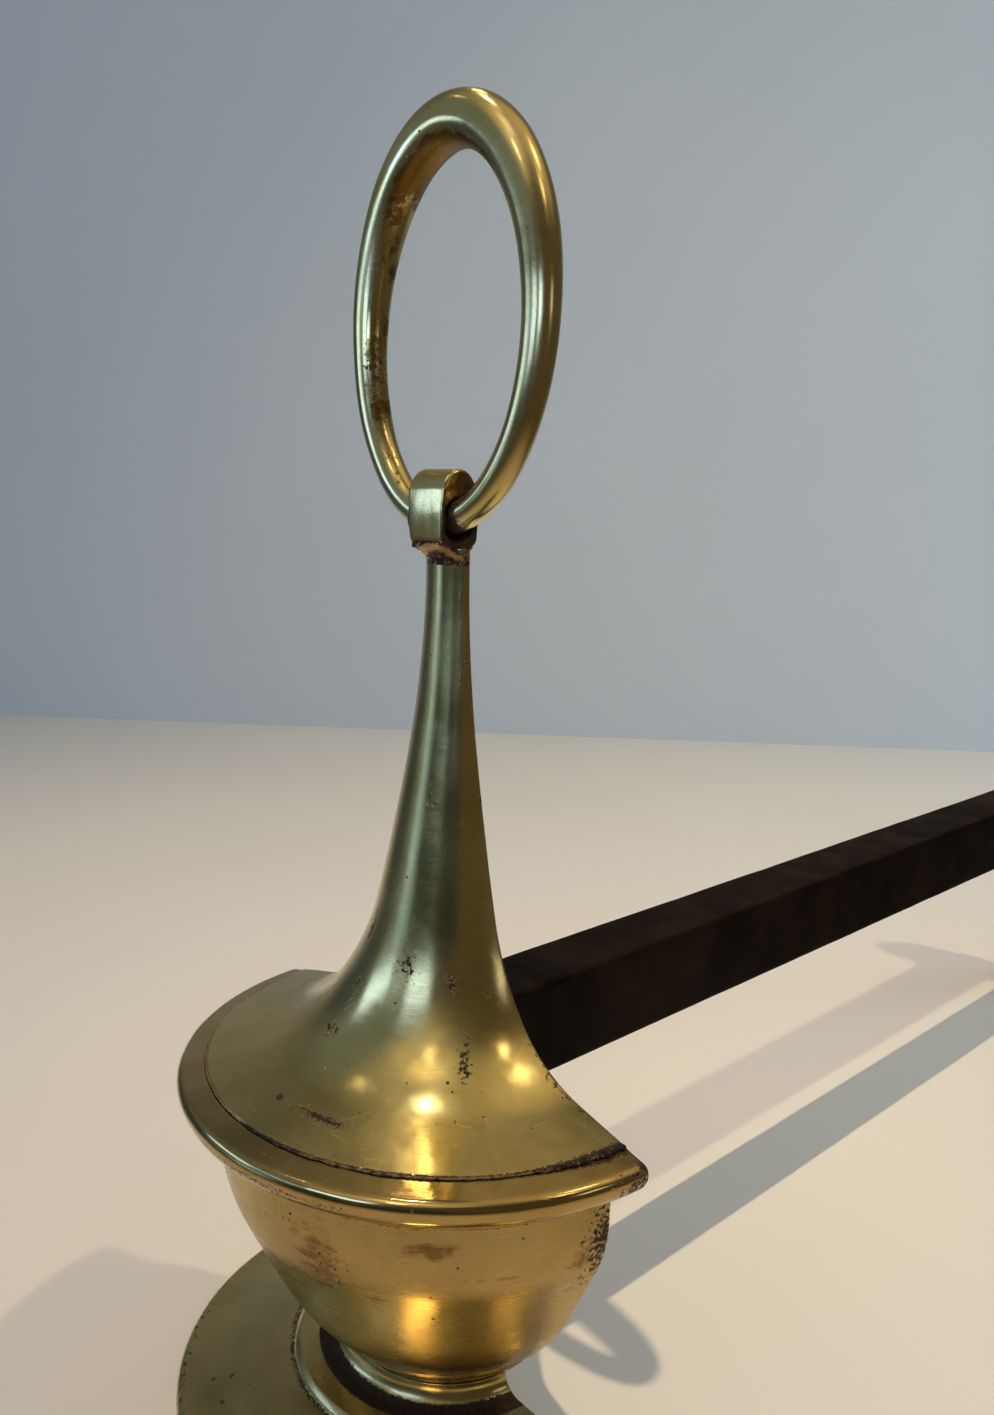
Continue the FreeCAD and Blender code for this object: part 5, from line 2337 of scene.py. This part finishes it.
    def _floor(self) -> None:
        """A wide pale floor, mirrored as a table that ends on the right and fades away behind. In
        mirrored rays its colour is a painted reflection: darker and warmer on the right near the
        object, and dark further out, for shade and an unlit room.
        """
        graph, colour = self._plaster("stage_floor", self.FLOOR_MOTTLE, self.floor_tones, 0.6)
        split = graph.node("SeparateXYZ")
        graph.plug(split.inputs[0], graph.place())
        across, along = Value(graph, split.outputs[0]), Value(graph, split.outputs[1]) + 0.2
        reach = graph.step("SQRT", across * across + along * along)
        open_side = graph.between((along * 0.68 - across * 0.73) / reach, 0.9, 0.4)
        mirrored = graph.ray("Is Glossy Ray")
        # painted reflection: in mirrored rays the floor to the right of the object is darker and
        # warmer, as painted shade
        near = graph.between(across * 0.86 - along * 0.5, -0.12, 0.12) * mirrored
        far = graph.between(reach, 0.16, 0.48) * mirrored * open_side
        # painted reflection: further out the mirrored floor is painted dark, grey to the left and
        # brown to the right, for an unlit room
        dark = graph.blend(graph.between(across, -0.1, 0.1), (0.13, 0.14, 0.13), (0.10, 0.07, 0.035))
        colour = graph.blend(near, colour, (0.60, 0.49, 0.34))
        graph.shade("Base Color", graph.blend(far, colour, dark))
        graph.cut_out(graph.between(reach, 0.55, 0.95) * mirrored * open_side)
        out = self.floor_reach
        edges = [(-out, -out, 0), (out, -out, 0), (out, out, 0), (-out, out, 0)]
        self._sheet("floor", edges, graph.material)

    def _wall(self) -> None:
        """A plain wall that is seen only from its front."""
        graph, colour = self._plaster("stage_wall", self.WALL_MOTTLE, self.wall_tones, 0.8)
        graph.shade("Base Color", colour)
        graph.cut_out(graph.node("NewGeometry").outputs["Backfacing"])
        left, right = np.array(self.wall_left), np.array(self.wall_right)
        way = right - left
        left, right = left - way * 3, right + way * 3
        edges = [(*left, 0), (*right, 0), (*right, self.wall_height), (*left, self.wall_height)]
        self._sheet("wall", edges, graph.material).visible_glossy = False

    def _sheet(self, name: str, edges: list[tuple],
               material: Material) -> Piece:
        """One flat face of the stage.

        Args:
            name: the face's name.
            edges: its four corners.
            material: its material.

        Returns:
            The face.
        """
        mesh = bpy.data.meshes.new(name)
        mesh.from_pydata(edges, [], [(0, 1, 2, 3)])
        mesh.materials.append(material)
        made = bpy.data.objects.new(name, mesh)
        bpy.context.scene.collection.objects.link(made)
        made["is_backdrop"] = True
        return made

    def _room(self) -> None:
        """The room: soft patches in what is mirrored, even cool air for matt surfaces."""
        world = bpy.data.worlds.new("room")
        bpy.context.scene.world = world
        world.use_nodes = True
        nodes = Nodes(world.node_tree)
        where = nodes.node("TexCoord").outputs["Generated"]
        mirrored = self.room
        for glow in self.glows:
            towards = nodes.node("VectorMath", operation="DOT_PRODUCT")
            nodes.plug(towards.inputs[0], where)
            nodes.plug(towards.inputs[1], glow.way())
            outer, inner = (math.cos(math.radians(reach)) for reach in (glow.outer, glow.inner))
            share = nodes.between(towards.outputs["Value"], outer, inner)
            mirrored = nodes.blend(share, mirrored, glow.colour)
        colour = nodes.blend(nodes.ray("Is Glossy Ray"), self.air, mirrored)
        colour = nodes.blend(nodes.ray("Is Camera Ray"), colour, self.backdrop)
        background = nodes.node("Background")
        nodes.plug(background.inputs["Color"], colour)
        nodes.plug(nodes.node("OutputWorld").inputs[0], background.outputs[0])

    def _camera(self) -> None:
        """The camera: its look is turned down by the pitch and rolled about its own line."""
        angles = (self.eye_azimuth, self.eye_pitch, self.eye_roll)
        azimuth, pitch, roll = (math.radians(angle) for angle in angles)
        look = Vector((-math.sin(azimuth) * math.cos(pitch), math.cos(azimuth) * math.cos(pitch),
                       -math.sin(pitch)))
        level = Vector((math.cos(azimuth), math.sin(azimuth), 0))
        above = level.cross(look)
        right = math.cos(roll) * level + math.sin(roll) * above
        up = math.cos(roll) * above - math.sin(roll) * level
        camera = bpy.data.cameras.new("camera")
        camera.lens = self.lens
        camera.sensor_width = self.sensor
        camera.clip_start = 0.01
        made = bpy.data.objects.new("camera", camera)
        rows = [(right[k], up[k], -look[k], self.eye_place[k]) for k in range(3)]
        made.matrix_world = Matrix([*rows, (0, 0, 0, 1)])
        bpy.context.scene.collection.objects.link(made)
        bpy.context.scene.camera = made


def corners() -> list[list[float]]:
    """The shown object's lowest and highest corners, as plain lists."""
    return [[float(part) for part in corner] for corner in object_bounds()]


def build_castings(places: Places) -> None:
    """Make the brass stack, from the foot to the bell.

    Args:
        places: where the frame has them.
    """
    raw = RAW_BRASS.material()
    Foot(
        places, places.foot_base, "foot_casting", "foot", FOOT_BRASS, columns=300, seed=3,
        pits=(Mark(-40, 81, 40, 1.6, 0.55),),
        stains=(Mark(-29.5, 71.6, 0.8, 0.8, 1.0), Mark(-28.2, 66.3, 0.8, 0.8, 1.0),
                Mark(-21.2, 69.7, 0.9, 0.9, 1.0)),
    ).build(raw)
    Collar(places, places.collar_base, "collar_casting", "neck_collar", BOWL_BRASS, columns=150,
           arris=0.25, seed=5).build(raw)
    Bowl(
        places, places.bowl_base, "bowl_casting", "bowl", BOWL_BRASS, columns=326, seed=7,
        pits=(Mark(84, 53, 5.5, 14, 1.0), Mark(84, 74, 6, 6, 1.0), Mark(10, 74.8, 26, 1.2, 0.5),
              Mark(12, 60, 9, 3, 0.25), Mark(20, 47, 9, 8, 0.3)),
        stains=(Mark(86, 79, 2.5, 2.5, 0.8), Mark(45.1, 35.7, 0.6, 0.6, 1.0),
                Mark(28, 66.0, 20, 0.5, 0.5)),
        browning=(Mark(18.9, 48, 8, 10, 1.3), Mark(44.7, 58.7, 9, 2.4, 1.3), Mark(33, 40, 9, 4, 0.8),
                  Mark(12, 57, 9, 4, 0.9), Mark(60, 50, 9, 3, 0.7), Mark(78, 50, 7, 18, 0.8)),
    ).build(raw)
    BowlLug(places).build(raw)
    Bell(
        places, places.bell_base, "bell_casting", "stem_bell", BELL_BRASS, columns=302, seed=9,
        pits=(Mark(19.4, 26.9, 2.8, 4.0, 0.85), Mark(46.7, 28.2, 2.2, 2.4, 1.0),
              Mark(53, 40.5, 1.7, 6.0, 0.9, 8), Mark(-10.9, 31.8, 1.6, 2.4, 0.9),
              Mark(-10.3, 40.0, 3.6, 2.4, 0.8), Mark(-23.4, 24.9, 1.4, 6.0, 1.0),
              Mark(84, 45, 2.0, 20, 0.7), Mark(16.0, 60.7, 9.0, 1.6, 0.9, 3)),
        stains=(Mark(16.0, 60.7, 8.0, 0.9, 0.85, 3), Mark(71, 16.4, 0.9, 1.0, 1.0),
                Mark(0.5, 60.8, 1.3, 1.1, 1.4), Mark(47.1, 44.5, 0.6, 0.6, 1.0),
                Mark(33.5, 45.3, 0.5, 0.5, 1.0), Mark(49.5, 54.9, 0.5, 0.5, 1.0)),
        browning=(Mark(-30, 50, 14, 10, 0.5), Mark(60, 16, 5, 14, 0.6), Mark(-5, 70.5, 90, 0.9, 0.9)),
    ).build(raw)


def main() -> None:
    """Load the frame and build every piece."""
    logging.basicConfig(level=logging.INFO, format="%(message)s")
    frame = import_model()
    places = Places.from_frame(frame)
    build_castings(places)
    eye = Eye(places)
    eye.build()
    Braze(places, eye).build()
    SeamGrime(places).build()
    RingHandle(places).build()
    Ironwork(places).build()
    Fasteners(places, STEEL.material()).build()
    Stage().build()
    scene = bpy.context.scene
    scene.view_settings.view_transform = "Standard"


if __name__ == "__main__":
    main()
